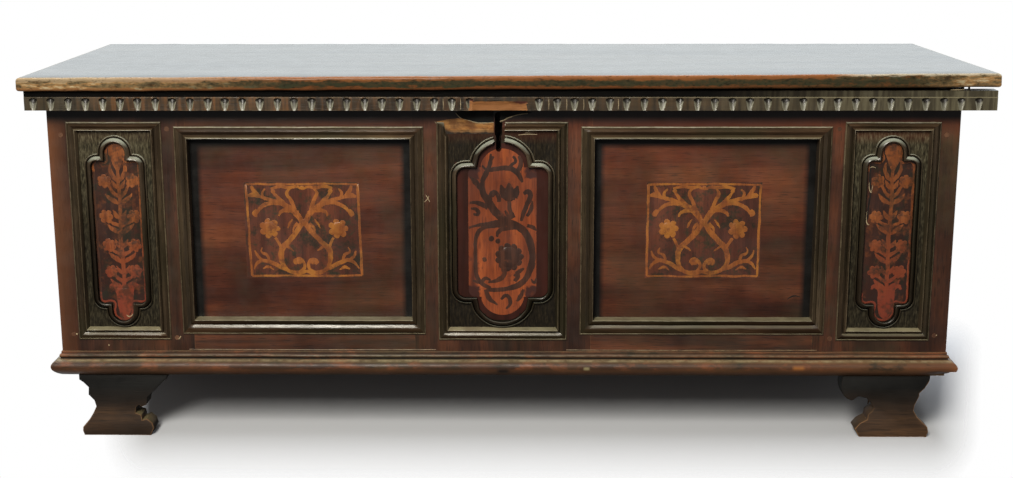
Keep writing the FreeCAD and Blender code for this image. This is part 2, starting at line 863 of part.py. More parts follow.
# Gouged strip: a plain band above a row of short flutes, stopped at the top
strip = box(strip_left_x, strip_right_x, strip_front_y, strip_back_y, strip_low, lid_under)
gouge_count = int((strip_right_x - strip_left_x - gouge_pitch) / gouge_pitch)
gouges = []
for index in range(gouge_count + 1):
    x = (strip_left_x + strip_right_x) / 2 + (index - gouge_count / 2) * gouge_pitch
    if abs(x - carcass_x) > gouge_bare_half:
        foot = V(x, strip_front_y, strip_low)
        gouges.append(Part.makeCone(gouge_foot_radius, gouge_top_radius, gouge_height, foot, Z_AXIS))
save_lid("lid_strip_front", cut_all(strip.cut(Part.makeCompound(gouges)), *nails))
for name, (x0, x1, y0) in cleat_spans.items():
    cleat = box(x0, x1, y0, lid_rear_y, strip_low, lid_under)
    save_lid("lid_strip_" + name, cut_all(cleat, *nails))

# Hinges: a leaf on the outside of the back, a strap under the lid, and a riveted pin
leaves = []
straps = []
pins = []
bore_radius = hinge_pin_radius + hinge_pin_clearance
middle_half = hinge_strap_width / 2
for side in SIDES.values():
    x = side * hinge_from_middle
    leaf_half = hinge_leaf_width / 2
    axis_at = V(x - leaf_half, hinge_y, hinge_z)
    bore = Part.makeCylinder(bore_radius, hinge_leaf_width + 2, axis_at - V(1, 0, 0), X_AXIS)
    leaf_low = hinge_z - hinge_leaf_length
    plate = box(x - leaf_half, x + leaf_half, back_y, back_y + hinge_plate, leaf_low, hinge_z)
    barrel = Part.makeCylinder(hinge_knuckle_radius, hinge_leaf_width, axis_at, X_AXIS)
    room = middle_half + hinge_gap
    window = box(
        x - room,
        x + room,
        back_y - 1,
        hinge_y + hinge_knuckle_radius + 1,
        hinge_z - hinge_knuckle_radius - 1,
        lid_under,
    )
    leaves.append(plate.fuse(barrel).cut(window).cut(bore).removeSplitter())
    strap = box(
        x - middle_half,
        x + middle_half,
        hinge_y - hinge_strap_length,
        hinge_y,
        lid_under - hinge_plate,
        lid_under,
    )
    knuckle_at = V(x - middle_half, hinge_y, hinge_z)
    knuckle = Part.makeCylinder(hinge_knuckle_radius, hinge_strap_width, knuckle_at, X_AXIS)
    straps.append(strap.fuse(knuckle).cut(bore).removeSplitter())
    shank = Part.makeCylinder(hinge_pin_radius, hinge_leaf_width, axis_at, X_AXIS)
    heads = []
    for along in (-hinge_pin_head, hinge_leaf_width):
        head_at = axis_at + V(along, 0, 0)
        heads.append(Part.makeCylinder(hinge_knuckle_radius - 1, hinge_pin_head, head_at, X_AXIS))
    pins.append(shank.multiFuse(heads).removeSplitter())
save_carcass("hinge_leaves", *leaves)
save_carcass("hinge_straps", *straps)
save_carcass("hinge_pins", *pins)

# Box lock: a plate on the inside of the centre stile, a case on the plate, a bolt and its spring
plate_top = carcass_top - lock_plate_drop
plate_back_y = frame_back_y + lock_plate_thickness
plate = box(
    keyhole_x - lock_plate_width / 2,
    keyhole_x + lock_plate_width / 2,
    frame_back_y,
    plate_back_y,
    plate_top - lock_plate_height,
    plate_top,
)
save_carcass("lock_plate", plate.cut(keyhole_solid(frame_back_y - 1, plate_back_y + 1, keyhole_plate_margin)))

case_half = lock_case_width / 2
case_top = plate_top - (lock_plate_height - lock_case_height) / 2
case_bottom = case_top - lock_case_height
case_back_y = plate_back_y + lock_case_depth
staple_x = keyhole_x + staple_from_keyhole
staple_y = (plate_back_y + case_back_y - lock_wall) / 2
bolt_top = carcass_top - bolt_top_drop
bolt_low = bolt_top - bolt_height
bolt_right = staple_x - bolt_to_staple
case = box(keyhole_x - case_half, keyhole_x + case_half, plate_back_y, case_back_y, case_bottom, case_top)
hollow = box(
    keyhole_x - case_half + lock_wall,
    keyhole_x + case_half - lock_wall,
    plate_back_y - 1,
    case_back_y - lock_wall,
    case_bottom + lock_wall,
    case_top - lock_wall,
)
staple_slot = box(
    staple_x - staple_clearance,
    staple_x + staple_bar + staple_clearance,
    staple_y - staple_eye_depth / 2 - staple_leg - staple_clearance,
    staple_y + staple_eye_depth / 2 + staple_leg + staple_clearance,
    case_top - lock_wall - 1,
    case_top + 1,
)
bolt_y0 = staple_y - bolt_thickness / 2
bolt_y1 = staple_y + bolt_thickness / 2
bolt_left = bolt_right - bolt_length
bolt_window = box(
    keyhole_x - case_half + lock_wall,
    bolt_right + bolt_travel,
    bolt_y0 - bolt_clearance,
    bolt_y1 + bolt_clearance,
    bolt_low - bolt_clearance,
    bolt_top + bolt_clearance,
)
guides = []
for x in (bolt_left + bolt_travel + guide_inset, bolt_right - guide_inset):
    guides.append(
        box(
            x - guide_thickness,
            x,
            plate_back_y,
            case_back_y - lock_wall,
            bolt_low - guide_border,
            bolt_top + guide_border,
        )
    )
case = case.cut(hollow).cut(staple_slot).multiFuse(guides).cut(bolt_window)
save_carcass("lock_case", case.removeSplitter())
save_carcass("lock_bolt", box(bolt_left, bolt_right, bolt_y0, bolt_y1, bolt_low, bolt_top))

# The leaf spring hangs from the case's top between the guides and presses over the bolt
spring_right = bolt_right - guide_inset - guide_thickness - 2
spring_low = bolt_top + bolt_clearance
spring_left = spring_right - spring_length
spring = box(spring_left, spring_right, bolt_y0, bolt_y1, spring_low, spring_low + spring_thickness)
hanger_right = spring_left + spring_thickness
hanger = box(spring_left, hanger_right, bolt_y0, bolt_y1, spring_low, case_top - lock_wall)
save_carcass("lock_spring", spring.fuse(hanger).removeSplitter())

# Staple: a U of bar iron on a small plate under the lid, which the bolt passes through
staple_half = staple_eye_depth / 2 + staple_leg
staple = box(
    staple_x,
    staple_x + staple_bar,
    staple_y - staple_half,
    staple_y + staple_half,
    lid_under - staple_drop,
    lid_under,
)
eye = box(
    staple_x - 1,
    staple_x + staple_bar + 1,
    staple_y - staple_eye_depth / 2,
    staple_y + staple_eye_depth / 2,
    lid_under - staple_drop + staple_leg,
    lid_under - staple_plate_thickness,
)
staple_middle = staple_x + staple_bar / 2
staple_plate = box(
    staple_middle - staple_plate_width / 2,
    staple_middle + staple_plate_width / 2,
    staple_y - staple_half,
    staple_y - staple_half + staple_plate_length,
    lid_under - staple_plate_thickness,
    lid_under,
)
save_carcass("lock_staple", staple.cut(eye).fuse(staple_plate).removeSplitter())
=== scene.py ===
import math

import bmesh
import bpy
from mathutils import Matrix, Vector, noise


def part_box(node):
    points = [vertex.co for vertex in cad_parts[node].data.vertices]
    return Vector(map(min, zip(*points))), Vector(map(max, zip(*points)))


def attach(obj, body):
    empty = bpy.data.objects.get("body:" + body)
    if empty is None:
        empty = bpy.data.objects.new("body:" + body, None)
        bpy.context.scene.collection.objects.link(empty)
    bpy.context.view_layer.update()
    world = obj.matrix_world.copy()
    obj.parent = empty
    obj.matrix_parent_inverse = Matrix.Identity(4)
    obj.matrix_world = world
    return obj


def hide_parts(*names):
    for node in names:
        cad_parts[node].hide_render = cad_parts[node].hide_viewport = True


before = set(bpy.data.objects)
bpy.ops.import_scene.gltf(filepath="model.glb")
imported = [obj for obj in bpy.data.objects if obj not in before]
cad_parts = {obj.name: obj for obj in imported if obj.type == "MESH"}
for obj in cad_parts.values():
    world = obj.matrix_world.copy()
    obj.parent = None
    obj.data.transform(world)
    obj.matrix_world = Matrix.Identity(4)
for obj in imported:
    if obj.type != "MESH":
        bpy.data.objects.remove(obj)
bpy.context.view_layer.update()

# The studio: a pale floor that fades into white, a key light in front of the chest and
# above it, a long soft light overhead, and a camera a little above the lid.
MM = 0.001


def colour(red, green, blue):
    """A colour as it is read off a screen, 0 to 255, made linear for a shader."""
    linear = []
    for value in (red, green, blue):
        share = value / 255
        linear.append(share / 12.92 if share <= 0.04045 else ((share + 0.055) / 1.055) ** 2.4)
    return (*linear, 1.0)


def add(tree, kind, sockets=None, **settings):
    """One shader node: its settings, then its sockets, each given a value or a link."""
    node = tree.nodes.new("ShaderNode" + kind)
    for key, value in settings.items():
        setattr(node, key, value)
    for key, value in (sockets or {}).items():
        if isinstance(value, bpy.types.NodeSocket):
            tree.links.new(value, node.inputs[key])
        else:
            node.inputs[key].default_value = value
    return node


def sums(tree, operation, first, second=0.0, clamp=False):
    """One sum on two numbers or masks."""
    return add(tree, "Math", {0: first, 1: second}, operation=operation, use_clamp=clamp).outputs[0]


def times(tree, *values):
    """The product of masks and shares."""
    made = values[0]
    for value in values[1:]:
        made = sums(tree, "MULTIPLY", made, value)
    return made


def greatest(tree, *values):
    """Where any of some masks is, at its strongest."""
    made = values[0]
    for value in values[1:]:
        made = sums(tree, "MAXIMUM", made, value)
    return made


def axis(tree, vector, letter):
    """One coordinate of a place or of a direction."""
    return add(tree, "SeparateXYZ", {0: vector}).outputs[letter]


def ramp(tree, factor, *stops):
    """A colour ramp; each stop is a place and a linear colour."""
    node = add(tree, "ValToRGB", {"Fac": factor})
    elements = node.color_ramp.elements
    while len(elements) < len(stops):
        elements.new(0.5)
    for element, (place, shade) in zip(elements, stops):
        element.position = place
        element.color = shade
    return node.outputs["Color"]


def spread(tree, value, low, high, to_low=0.0, to_high=1.0):
    """Stretches a value so that low to high becomes to_low to to_high."""
    sockets = {"Value": value, "From Min": low, "From Max": high, "To Min": to_low, "To Max": to_high}
    return add(tree, "MapRange", sockets).outputs["Result"]


def mixed(tree, factor, first, second, mode="MIX"):
    node = add(tree, "Mix", {0: factor, 6: first, 7: second}, data_type="RGBA", blend_type=mode)
    return node.outputs[2]


floor_reach = 2.6
shadow_left, shadow_right = -0.725, 0.86
left_slant, right_slant = -0.24, 0.3
shadow_middle, shadow_half = 0.02, 0.25
shadow_reach = 0.30
shadow_squeeze = 3.4  # how many times quicker it fades to the sides
floor_as_light, floor_as_seen = (0.14, 0.14, 0.14, 1.0), (0.670, 0.692, 0.735, 1.0)
floor_mesh = bpy.data.meshes.new("studio_floor")
bm = bmesh.new()
bmesh.ops.create_grid(bm, x_segments=2, y_segments=2, size=floor_reach)
bm.to_mesh(floor_mesh)
bm.free()
studio_floor = bpy.data.objects.new("studio_floor", floor_mesh)
bpy.context.scene.collection.objects.link(studio_floor)
floor_paint = bpy.data.materials.new("floor_paint")
floor_paint.use_nodes = True
tree = floor_paint.node_tree
tree.nodes.clear()
place = add(tree, "TexCoord").outputs["Object"]
parts = add(tree, "SeparateXYZ", {0: place}).outputs
# The shadow's outline is drawn: beyond these lines the floor fades into the white, and under the chest's
# front a little white shows through, painted light in the shadow.
left_line = sums(tree, "ADD", times(tree, parts["Y"], left_slant), shadow_left)
right_line = sums(tree, "ADD", times(tree, parts["Y"], right_slant), shadow_right)
past_left = sums(tree, "SUBTRACT", left_line, parts["X"])
past_right = sums(tree, "SUBTRACT", parts["X"], right_line)
aside = times(tree, greatest(tree, past_left, past_right, 0.0), shadow_squeeze)
deep = sums(tree, "ABSOLUTE", sums(tree, "SUBTRACT", parts["Y"], shadow_middle))
deep = greatest(tree, sums(tree, "SUBTRACT", deep, shadow_half), 0.0)
beyond = add(tree, "CombineXYZ", {"X": aside, "Y": deep}).outputs[0]
distance = add(tree, "VectorMath", {0: beyond}, operation="LENGTH").outputs["Value"]
fade = spread(tree, distance, 0.0, shadow_reach)
fade = greatest(tree, fade, spread(tree, parts["Y"], 0.12, -0.16, 0.0, 0.02))
seen = add(tree, "LightPath").outputs["Is Camera Ray"]
paint = mixed(tree, seen, floor_as_light, floor_as_seen)
white = add(tree, "BsdfDiffuse", {"Color": paint}).outputs[0]
clear = add(tree, "BsdfTransparent").outputs[0]
surface = add(tree, "MixShader", {0: fade, 1: white, 2: clear}).outputs[0]
tree.links.new(surface, add(tree, "OutputMaterial").inputs["Surface"])
floor_mesh.materials.append(floor_paint)

# The world is white where it is seen; as light it is dim, and dark towards the front
ambient = 0.12
world = bpy.data.worlds.new("studio")
world.use_nodes = True
bpy.context.scene.world = world
tree = world.node_tree
tree.nodes.clear()
direction = add(tree, "TexCoord").outputs["Generated"]
behind = spread(tree, axis(tree, direction, "Y"), -0.25, 0.45, 0.10, 0.88)
path = add(tree, "LightPath")
seen = greatest(tree, path.outputs["Is Camera Ray"], path.outputs["Is Transmission Ray"])
mirrored = times(tree, path.outputs["Is Glossy Ray"], behind)
strength = greatest(tree, seen, mirrored, ambient)
shade = mixed(tree, mirrored, (1.0, 1.0, 1.0, 1.0), (0.90, 0.97, 1.0, 1.0))
background = add(tree, "Background", {"Color": shade, "Strength": strength})
tree.links.new(background.outputs[0], add(tree, "OutputWorld").inputs["Surface"])


def softbox(name, place, aim, width, depth, power, tint):
    """A rectangular lamp turned towards a point."""
    lamp = bpy.data.lights.new(name, "AREA")
    lamp.shape = "RECTANGLE"
    lamp.size = width
    lamp.size_y = depth
    lamp.energy = power
    lamp.color = tint
    box = bpy.data.objects.new(name, lamp)
    bpy.context.scene.collection.objects.link(box)
    box.location = place
    box.rotation_euler = (Vector(aim) - Vector(place)).to_track_quat("-Z", "Y").to_euler()


softbox("key_light", (-0.80, -3.45, 2.9), (0.0, -0.25, 0.35), 0.9, 2.0, 190.0, (1.0, 0.95, 0.85))
softbox("top_light", (-0.25, 0.60, 2.7), (0.0, 0.0, 0.2), 3.0, 1.5, 110.0, (0.97, 0.99, 1.0))

camera_place = Vector((0.0307, -2.9200, 0.9791))
camera_yaw = math.radians(-0.697)
camera_pitch = math.radians(12.807)
camera_roll = math.radians(-0.103)
camera_data = bpy.data.cameras.new("camera")
camera_data.sensor_width = 36.0
camera_data.lens = 54.05
camera = bpy.data.objects.new("camera", camera_data)
bpy.context.scene.collection.objects.link(camera)
looks = Vector(
    (
        math.sin(camera_yaw) * math.cos(camera_pitch),
        math.cos(camera_yaw) * math.cos(camera_pitch),
        -math.sin(camera_pitch),
    )
)
turn = looks.to_track_quat("-Z", "Y").to_matrix().to_4x4()
camera.matrix_world = Matrix.Translation(camera_place) @ turn @ Matrix.Rotation(camera_roll, 4, "Z")
bpy.context.scene.camera = camera
bpy.context.scene.view_settings.view_transform = "Standard"

# Front frame: two end stiles, a broad centre stile and four rails in solid walnut, pegged through
# mortise and tenon. The polish is dark and worn, and the grain runs along each piece.
GRAIN_TURN = {"z": (0.0, 0.0, 0.0), "x": (0.0, math.pi / 2, 0.0), "y": (math.pi / 2, 0.0, 0.0)}


def effect(name, inputs, outputs):
    """An empty shader group with its named sockets."""
    group = bpy.data.node_groups.new(name, "ShaderNodeTree")
    for label, kind, value in inputs:
        socket = group.interface.new_socket(label, in_out="INPUT", socket_type="NodeSocket" + kind)
        socket.default_value = value
    for label, kind in outputs:
        group.interface.new_socket(label, in_out="OUTPUT", socket_type="NodeSocket" + kind)
    return group, group.nodes.new("NodeGroupInput"), group.nodes.new("NodeGroupOutput")


def stretched(tree, vector, *shares):
    """Coordinates drawn out along the grain."""
    return add(tree, "VectorMath", {0: vector, 1: shares}, operation="MULTIPLY").outputs[0]


def blotches(tree, vector, scale, detail, roughness=0.5):
    """Uneven patches, from 0 to 1."""
    sockets = {"Vector": vector, "Scale": scale, "Detail": detail, "Roughness": roughness}
    return add(tree, "TexNoise", sockets).outputs["Fac"]


def wood_grain():
    """Growth rings, fibres and open pores that run along Z."""
    group, given, made = effect(
        "wood_grain",
        [("Vector", "Vector", (0.0, 0.0, 0.0)), ("Ring size", "Float", 26.0), ("Wander", "Float", 0.5)],
        [("Rings", "Float"), ("Fibre", "Float"), ("Pores", "Float")],
    )
    along = stretched(group, given.outputs["Vector"], 1.0, 1.0, 0.09)
    drift = add(group, "TexNoise", {"Vector": along, "Scale": 6.0, "Detail": 3.0})
    drifted = add(group, "VectorMath", {0: drift.outputs["Color"], 3: 0.12}, operation="SCALE")
    bent = add(group, "VectorMath", {0: along, 1: drifted.outputs[0]}, operation="ADD")
    rings = blotches(group, bent.outputs[0], given.outputs["Ring size"], 5.0, 0.6)
    fine = stretched(group, given.outputs["Vector"], 1.0, 1.0, 0.02)
    fibre = blotches(group, fine, 420.0, 2.0)
    short = stretched(group, given.outputs["Vector"], 1.0, 1.0, 0.06)
    specks = blotches(group, short, 760.0, 0.0)
    pores = spread(group, specks, 0.62, 0.72)
    group.links.new(spread(group, rings, 0.3, 0.7), made.inputs["Rings"])
    group.links.new(fibre, made.inputs["Fibre"])
    group.links.new(pores, made.inputs["Pores"])
    return group


def handling_wear():
    """Where edges are rubbed, where dark wax has gathered, and where the polish is dull."""
    group, given, made = effect(
        "handling_wear",
        [("Vector", "Vector", (0.0, 0.0, 0.0)), ("Edge width", "Float", 0.0015)],
        [("Edge", "Float"), ("Grime", "Float"), ("Dull", "Float"), ("Scuffs", "Float")],
    )
    rounded = add(group, "Bevel", {"Radius": given.outputs["Edge width"]}, samples=4)
    flat = add(group, "NewGeometry").outputs["Normal"]
    turned = add(group, "VectorMath", {0: rounded.outputs[0], 1: flat}, operation="DOT_PRODUCT")
    edge = spread(group, turned.outputs["Value"], 0.998, 0.90)
    broad = blotches(group, given.outputs["Vector"], 9.0, 5.0)
    broken = blotches(group, given.outputs["Vector"], 90.0, 3.0)
    wax_wear_and_shading = spread(group, broken, 0.38, 0.60)
    grime = spread(group, broad, 0.45, 0.68)
    dull = blotches(group, given.outputs["Vector"], 31.0, 4.0)
    streaks = blotches(group, given.outputs["Vector"], 240.0, 1.0)
    scuffs = spread(group, streaks, 0.70, 0.76)
    group.links.new(times(group, edge, wax_wear_and_shading), made.inputs["Edge"])
    group.links.new(grime, made.inputs["Grime"])
    group.links.new(spread(group, dull, 0.35, 0.65), made.inputs["Dull"])
    group.links.new(scuffs, made.inputs["Scuffs"])
    return group


grain_group = wood_grain()
wear_group = handling_wear()


def start_wood(name, grain, ring_size, shades, edge_shade, edge_width):
    """The part of a wood that all pieces share: its colour with grain, grime and rubbed edges."""
    material = bpy.data.materials.new(name)
    material.use_nodes = True
    tree = material.node_tree
    tree.nodes.clear()
    place = add(tree, "TexCoord").outputs["Object"]
    lengthwise = add(tree, "Mapping", {"Vector": place, "Rotation": GRAIN_TURN[grain]}).outputs[0]
    wood = add(tree, "Group", node_tree=grain_group)
    tree.links.new(lengthwise, wood.inputs["Vector"])
    wood.inputs["Ring size"].default_value = ring_size
    wear = add(tree, "Group", node_tree=wear_group)
    tree.links.new(place, wear.inputs["Vector"])
    wear.inputs["Edge width"].default_value = edge_width
    dark, middle, light = shades
    tone = ramp(tree, wood.outputs["Rings"], (0.0, dark), (0.5, middle), (1.0, light))
    fibres = spread(tree, wood.outputs["Fibre"], 0.3, 0.7, 0.86, 1.12)
    tone = mixed(tree, 1.0, tone, fibres, "MULTIPLY")
    tone = mixed(tree, times(tree, wood.outputs["Pores"], 0.55), tone, dark)
    tone = mixed(tree, times(tree, wear.outputs["Grime"], 0.55), tone, dark)
    tone = mixed(tree, times(tree, wear.outputs["Edge"], 0.7), tone, edge_shade)
    return material, tree, place, wood, wear, tone


def finish_wood(material, tree, wood, wear, tone, gloss, relief=0.25, coat=0.5, shine_share=1.0):
    """Polish over the colour: roughness between two values, fine relief and a coat. The shine
    share takes the polish away where it is 0."""
    shine, matt = gloss
    rough = spread(tree, wear.outputs["Dull"], 0.0, 1.0, shine, matt)
    rough = sums(tree, "ADD", rough, times(tree, wear.outputs["Edge"], 0.15))
    height = sums(tree, "ADD", wood.outputs["Fibre"], times(tree, wood.outputs["Rings"], 0.8))
    height = sums(tree, "SUBTRACT", height, times(tree, wood.outputs["Pores"], 0.7))
    bump = add(tree, "Bump", {"Height": height, "Strength": relief, "Distance": 0.0006})
    shader = add(
        tree,
        "BsdfPrincipled",
        {
            "Base Color": tone,
            "Roughness": rough,
            "Normal": bump.outputs[0],
            "Specular IOR Level": times(tree, shine_share, 0.4),
            "Coat Weight": times(tree, shine_share, coat),
            "Coat Roughness": 0.22,
            "Coat Normal": bump.outputs[0],
        },
    )
    tree.links.new(shader.outputs[0], add(tree, "OutputMaterial").inputs["Surface"])
    return material


def shaded_below(tree, place, tone, low, high, least):
    """Wood painted darker towards the floor: painted shade, as the light falls off lower down."""
    height = axis(tree, place, "Z")
    share = spread(tree, height, low, high, least, 1.0)
    return mixed(tree, 1.0, tone, share, "MULTIPLY")


def painted_strip_shadow(tree, place, tone):
    """Painted shadow under the lid strip: the wood just under it is painted near-black, and below that a
    band of brighter red is painted light over the real shadow.
    """
    parts = add(tree, "SeparateXYZ", {0: place}).outputs
    front = spread(tree, parts["Y"], -0.250, -0.2545)
    painted_light_band = times(tree, spread(tree, parts["Z"], 0.545, 0.580), front)
    painted_light_band = times(tree, painted_light_band, spread(tree, parts["X"], -0.3, 0.4, 0.08, 0.32))
    tone = mixed(tree, painted_light_band, tone, colour(140, 66, 42))
    level = spread(tree, parts["Z"], 0.580, 0.595)
    return mixed(tree, times(tree, level, front, 0.9), tone, colour(14, 11, 10))


def dust_and_highlight(tree, tone, wear, steep, level, shade, most):
    """Whatever faces up is painted paler: dusty bleaching and rubbing, and a painted highlight where light
    from above would catch it.
    """
    facing = axis(tree, add(tree, "TexCoord").outputs["Normal"], "Z")
    lying = spread(tree, facing, steep, level, 0.0, most)
    lying = times(tree, lying, spread(tree, wear.outputs["Dull"], 0.0, 1.0, 1.0, 0.55))
    return mixed(tree, lying, tone, shade)


def weathered(tree, place, tone, most):
    """Old polish has turned to an olive brown in broad uneven patches."""
    patches = blotches(tree, place, 7.0, 6.0, 0.65)
    return mixed(tree, spread(tree, patches, 0.45, 0.68, 0.0, most), tone, colour(74, 64, 42))


face_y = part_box("front_stile_left")[0].y
front_skin = face_y + 0.012
chest_middle = Vector((-0.009, 0.0, 0.38))


def bare_inside(tree, place, wood, tone):
    """Inside the chest the wood was never stained."""
    normal = add(tree, "TexCoord").outputs["Normal"]
    inward = add(tree, "VectorMath", {0: chest_middle, 1: place}, operation="SUBTRACT").outputs[0]
    facing = add(tree, "VectorMath", {0: normal, 1: inward}, operation="DOT_PRODUCT").outputs["Value"]
    behind = spread(tree, axis(tree, place, "Y"), front_skin, front_skin + 0.001)
    bare = ramp(tree, wood.outputs["Rings"], (0.0, colour(92, 68, 47)), (1.0, colour(150, 120, 86)))
    return mixed(tree, times(tree, spread(tree, facing, 0.10, 0.14), behind), tone, bare)


frame_ring, frame_edge_width = 24.0, 0.0014
frame_shades = colour(34, 20, 13), colour(76, 44, 28), colour(120, 68, 42)
frame_edge = colour(146, 100, 64)


def frame_walnut(name, grain):
    """Polished walnut of the frame, plain where it faces the inside of the chest."""
    made = start_wood(name, grain, frame_ring, frame_shades, frame_edge, frame_edge_width)
    material, tree, place, wood, wear, tone = made
    tone = weathered(tree, place, tone, 0.35)
    tone = shaded_below(tree, place, tone, 0.15, 0.55, 0.80)
    tone = painted_strip_shadow(tree, place, tone)
    tone = bare_inside(tree, place, wood, tone)
    return finish_wood(material, tree, wood, wear, tone, (0.34, 0.55))


def dress(node, material):
    """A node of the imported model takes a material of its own."""
    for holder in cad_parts[node].material_slots:
        holder.material = material


walnut_upright = frame_walnut("walnut_upright", "z")
walnut_level = frame_walnut("walnut_level", "x")
walnut_deep = frame_walnut("walnut_deep", "y")
for side in ("left", "right"):
    dress("front_top_rail_" + side, walnut_level)
    dress("front_bottom_rail_" + side, walnut_level)

# Each stile carries a sunk-looking field inside its planted moulding: the wood there is stained
# almost black, and the centre one has a dark red band between its cartouche and its inlay.
def middle(node):
    """The middle and the size of a node's box."""
    low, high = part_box(node)
    return (low + high) / 2, high - low


def inside(tree, place, centre, half_x, half_z, soft=0.0006):
    """A mask that is 1 inside a rectangle of the front."""
    offset = add(tree, "VectorMath", {0: place, 1: centre}, operation="SUBTRACT")
    far = add(tree, "VectorMath", {0: offset.outputs[0]}, operation="ABSOLUTE")
    parts = add(tree, "SeparateXYZ", {0: far.outputs[0]})
    in_x = spread(tree, parts.outputs["X"], half_x + soft, half_x)
    in_z = spread(tree, parts.outputs["Z"], half_z + soft, half_z)
    return times(tree, in_x, in_z)


def zone(tree, place, node, margin):
    """A mask that is 1 inside a node's rectangle of the front, drawn in by a margin."""
    centre, size = middle(node)
    return inside(tree, place, centre, size.x / 2 - margin, size.z / 2 - margin)


field_margin = 0.010
band_steps = ((0.084, 0.128), (0.048, 0.150), (0.030, 0.162))  # half widths and half heights
for name in ("left", "centre", "right"):
    made = start_wood("stile_" + name, "z", frame_ring, frame_shades, frame_edge, frame_edge_width)
    material, tree, place, wood, wear, tone = made
    sideways = axis(tree, place, "X")
    tone = weathered(tree, place, tone, 0.75 if name == "right" else 0.35)
    if name == "left":
        lit = spread(tree, sideways, -0.780, -0.814, 0.0, 0.5)
        tone = mixed(tree, lit, tone, colour(134, 84, 52))
    combed = add(tree, "Mapping", {"Vector": place, "Scale": (1.0, 1.0, 0.22)}).outputs[0]
    combed = blotches(tree, combed, 340.0, 5.0, 0.7)
    field_shades = (0.34, colour(18, 15, 10)), (0.52, colour(36, 30, 21)), (0.70, colour(62, 53, 37))
    field = ramp(tree, combed, *field_shades)
    if name != "centre":
        # The end fields are painted paler towards the top.
        height = axis(tree, place, "Z")
        field_paler_above = (0.38, colour(38, 34, 24)), (0.52, colour(74, 68, 50)), (0.68, colour(114, 108, 86))
        field_paler_above = ramp(tree, combed, *field_paler_above)
        field = mixed(tree, spread(tree, height, 0.36, 0.56, 0.35, 0.85), field, field_paler_above)
    framed = zone(tree, place, "pilaster_moulding_" + name, field_margin)
    tone = mixed(tree, framed, tone, field)
    if name == "centre":
        band = ramp(tree, wood.outputs["Rings"], (0.0, colour(44, 25, 20)), (1.0, colour(78, 40, 32)))
        centre, _ = middle("cartouche_centre")
        ringed = [inside(tree, place, centre, half_x, half_z) for half_x, half_z in band_steps]
        tone = mixed(tree, greatest(tree, *ringed), tone, band)
    tone = shaded_below(tree, place, tone, 0.15, 0.55, 0.68)
    tone = painted_strip_shadow(tree, place, tone)
    tone = bare_inside(tree, place, wood, tone)
    shine = spread(tree, framed, 0.0, 1.0, 1.0, 0.4)
    finish_wood(material, tree, wood, wear, tone, (0.32, 0.52), shine_share=shine)
    dress("front_stile_" + name, material)

shades = colour(70, 44, 30), colour(96, 61, 41), colour(130, 94, 66)
material, tree, place, wood, wear, tone = start_wood("peg_wood", "y", 24.0, shades, shades[2], 0.001)
dress("frame_pegs", finish_wood(material, tree, wood, wear, tone, (0.45, 0.65), coat=0.1))

# Wide panels: thin boards of redder walnut, sunk in grooves behind the frame, their grain level.
# Where they meet the moulding they are painted near-black: painted shadow of the sunk panel.
unshaded_drop = 0.016
shade_aside, shade_above, shade_soft = 0.033, 0.014, 0.010
shades = colour(50, 24, 15), colour(96, 48, 30), colour(136, 76, 46)
for side in ("left", "right"):
    made = start_wood("panel_" + side, "x", 15.0, shades, colour(130, 76, 48), 0.001)
    material, tree, place, wood, wear, tone = made
    tone = weathered(tree, place, tone, 0.45)
    tone = shaded_below(tree, place, tone, 0.18, 0.54, 0.55)
    centre, size = middle("front_panel_" + side)
    centre.z -= unshaded_drop
    unshaded = inside(tree, place, centre, size.x / 2 - shade_aside, size.z / 2 - shade_above, shade_soft)
    # Painted shadow: a near-black border round the panel, with no coat on it.
    tone = mixed(tree, unshaded, colour(12, 10, 8), tone)
    tone = bare_inside(tree, place, wood, tone)
    gloss = times(tree, unshaded, 0.28)
    finish_wood(material, tree, wood, wear, tone, (0.34, 0.52), relief=0.12, coat=gloss)
    dress("front_panel_" + side, material)

# Planted mouldings: strips of dark-stained walnut planed to a fillet, a hollow and a crest, mitred
# and nailed round each opening. They are handmade, so their lines are never quite straight; dark
# wax lies in the grooves and the edges are rubbed pale.
def wax_wear_and_shading(tree, place, tone, pale, least=0.25):
    """Colours a moulding by its wear-and-shade value: 0 is dark wax and painted shade in a groove, 1 an edge
    worn bare and painted pale as a highlight.
    """
    rub_and_shade = add(tree, "Attribute", attribute_name="rub_and_shade").outputs["Fac"]
    broken = blotches(tree, place, 60.0, 5.0, 0.7)
    bare = spread(tree, broken, 0.38, 0.62, least, 1.0)
    bare = times(tree, bare, spread(tree, rub_and_shade, 0.6, 1.0))
    tone = mixed(tree, spread(tree, rub_and_shade, 0.30, 0.0), tone, colour(14, 12, 9))
    return mixed(tree, bare, tone, pale)


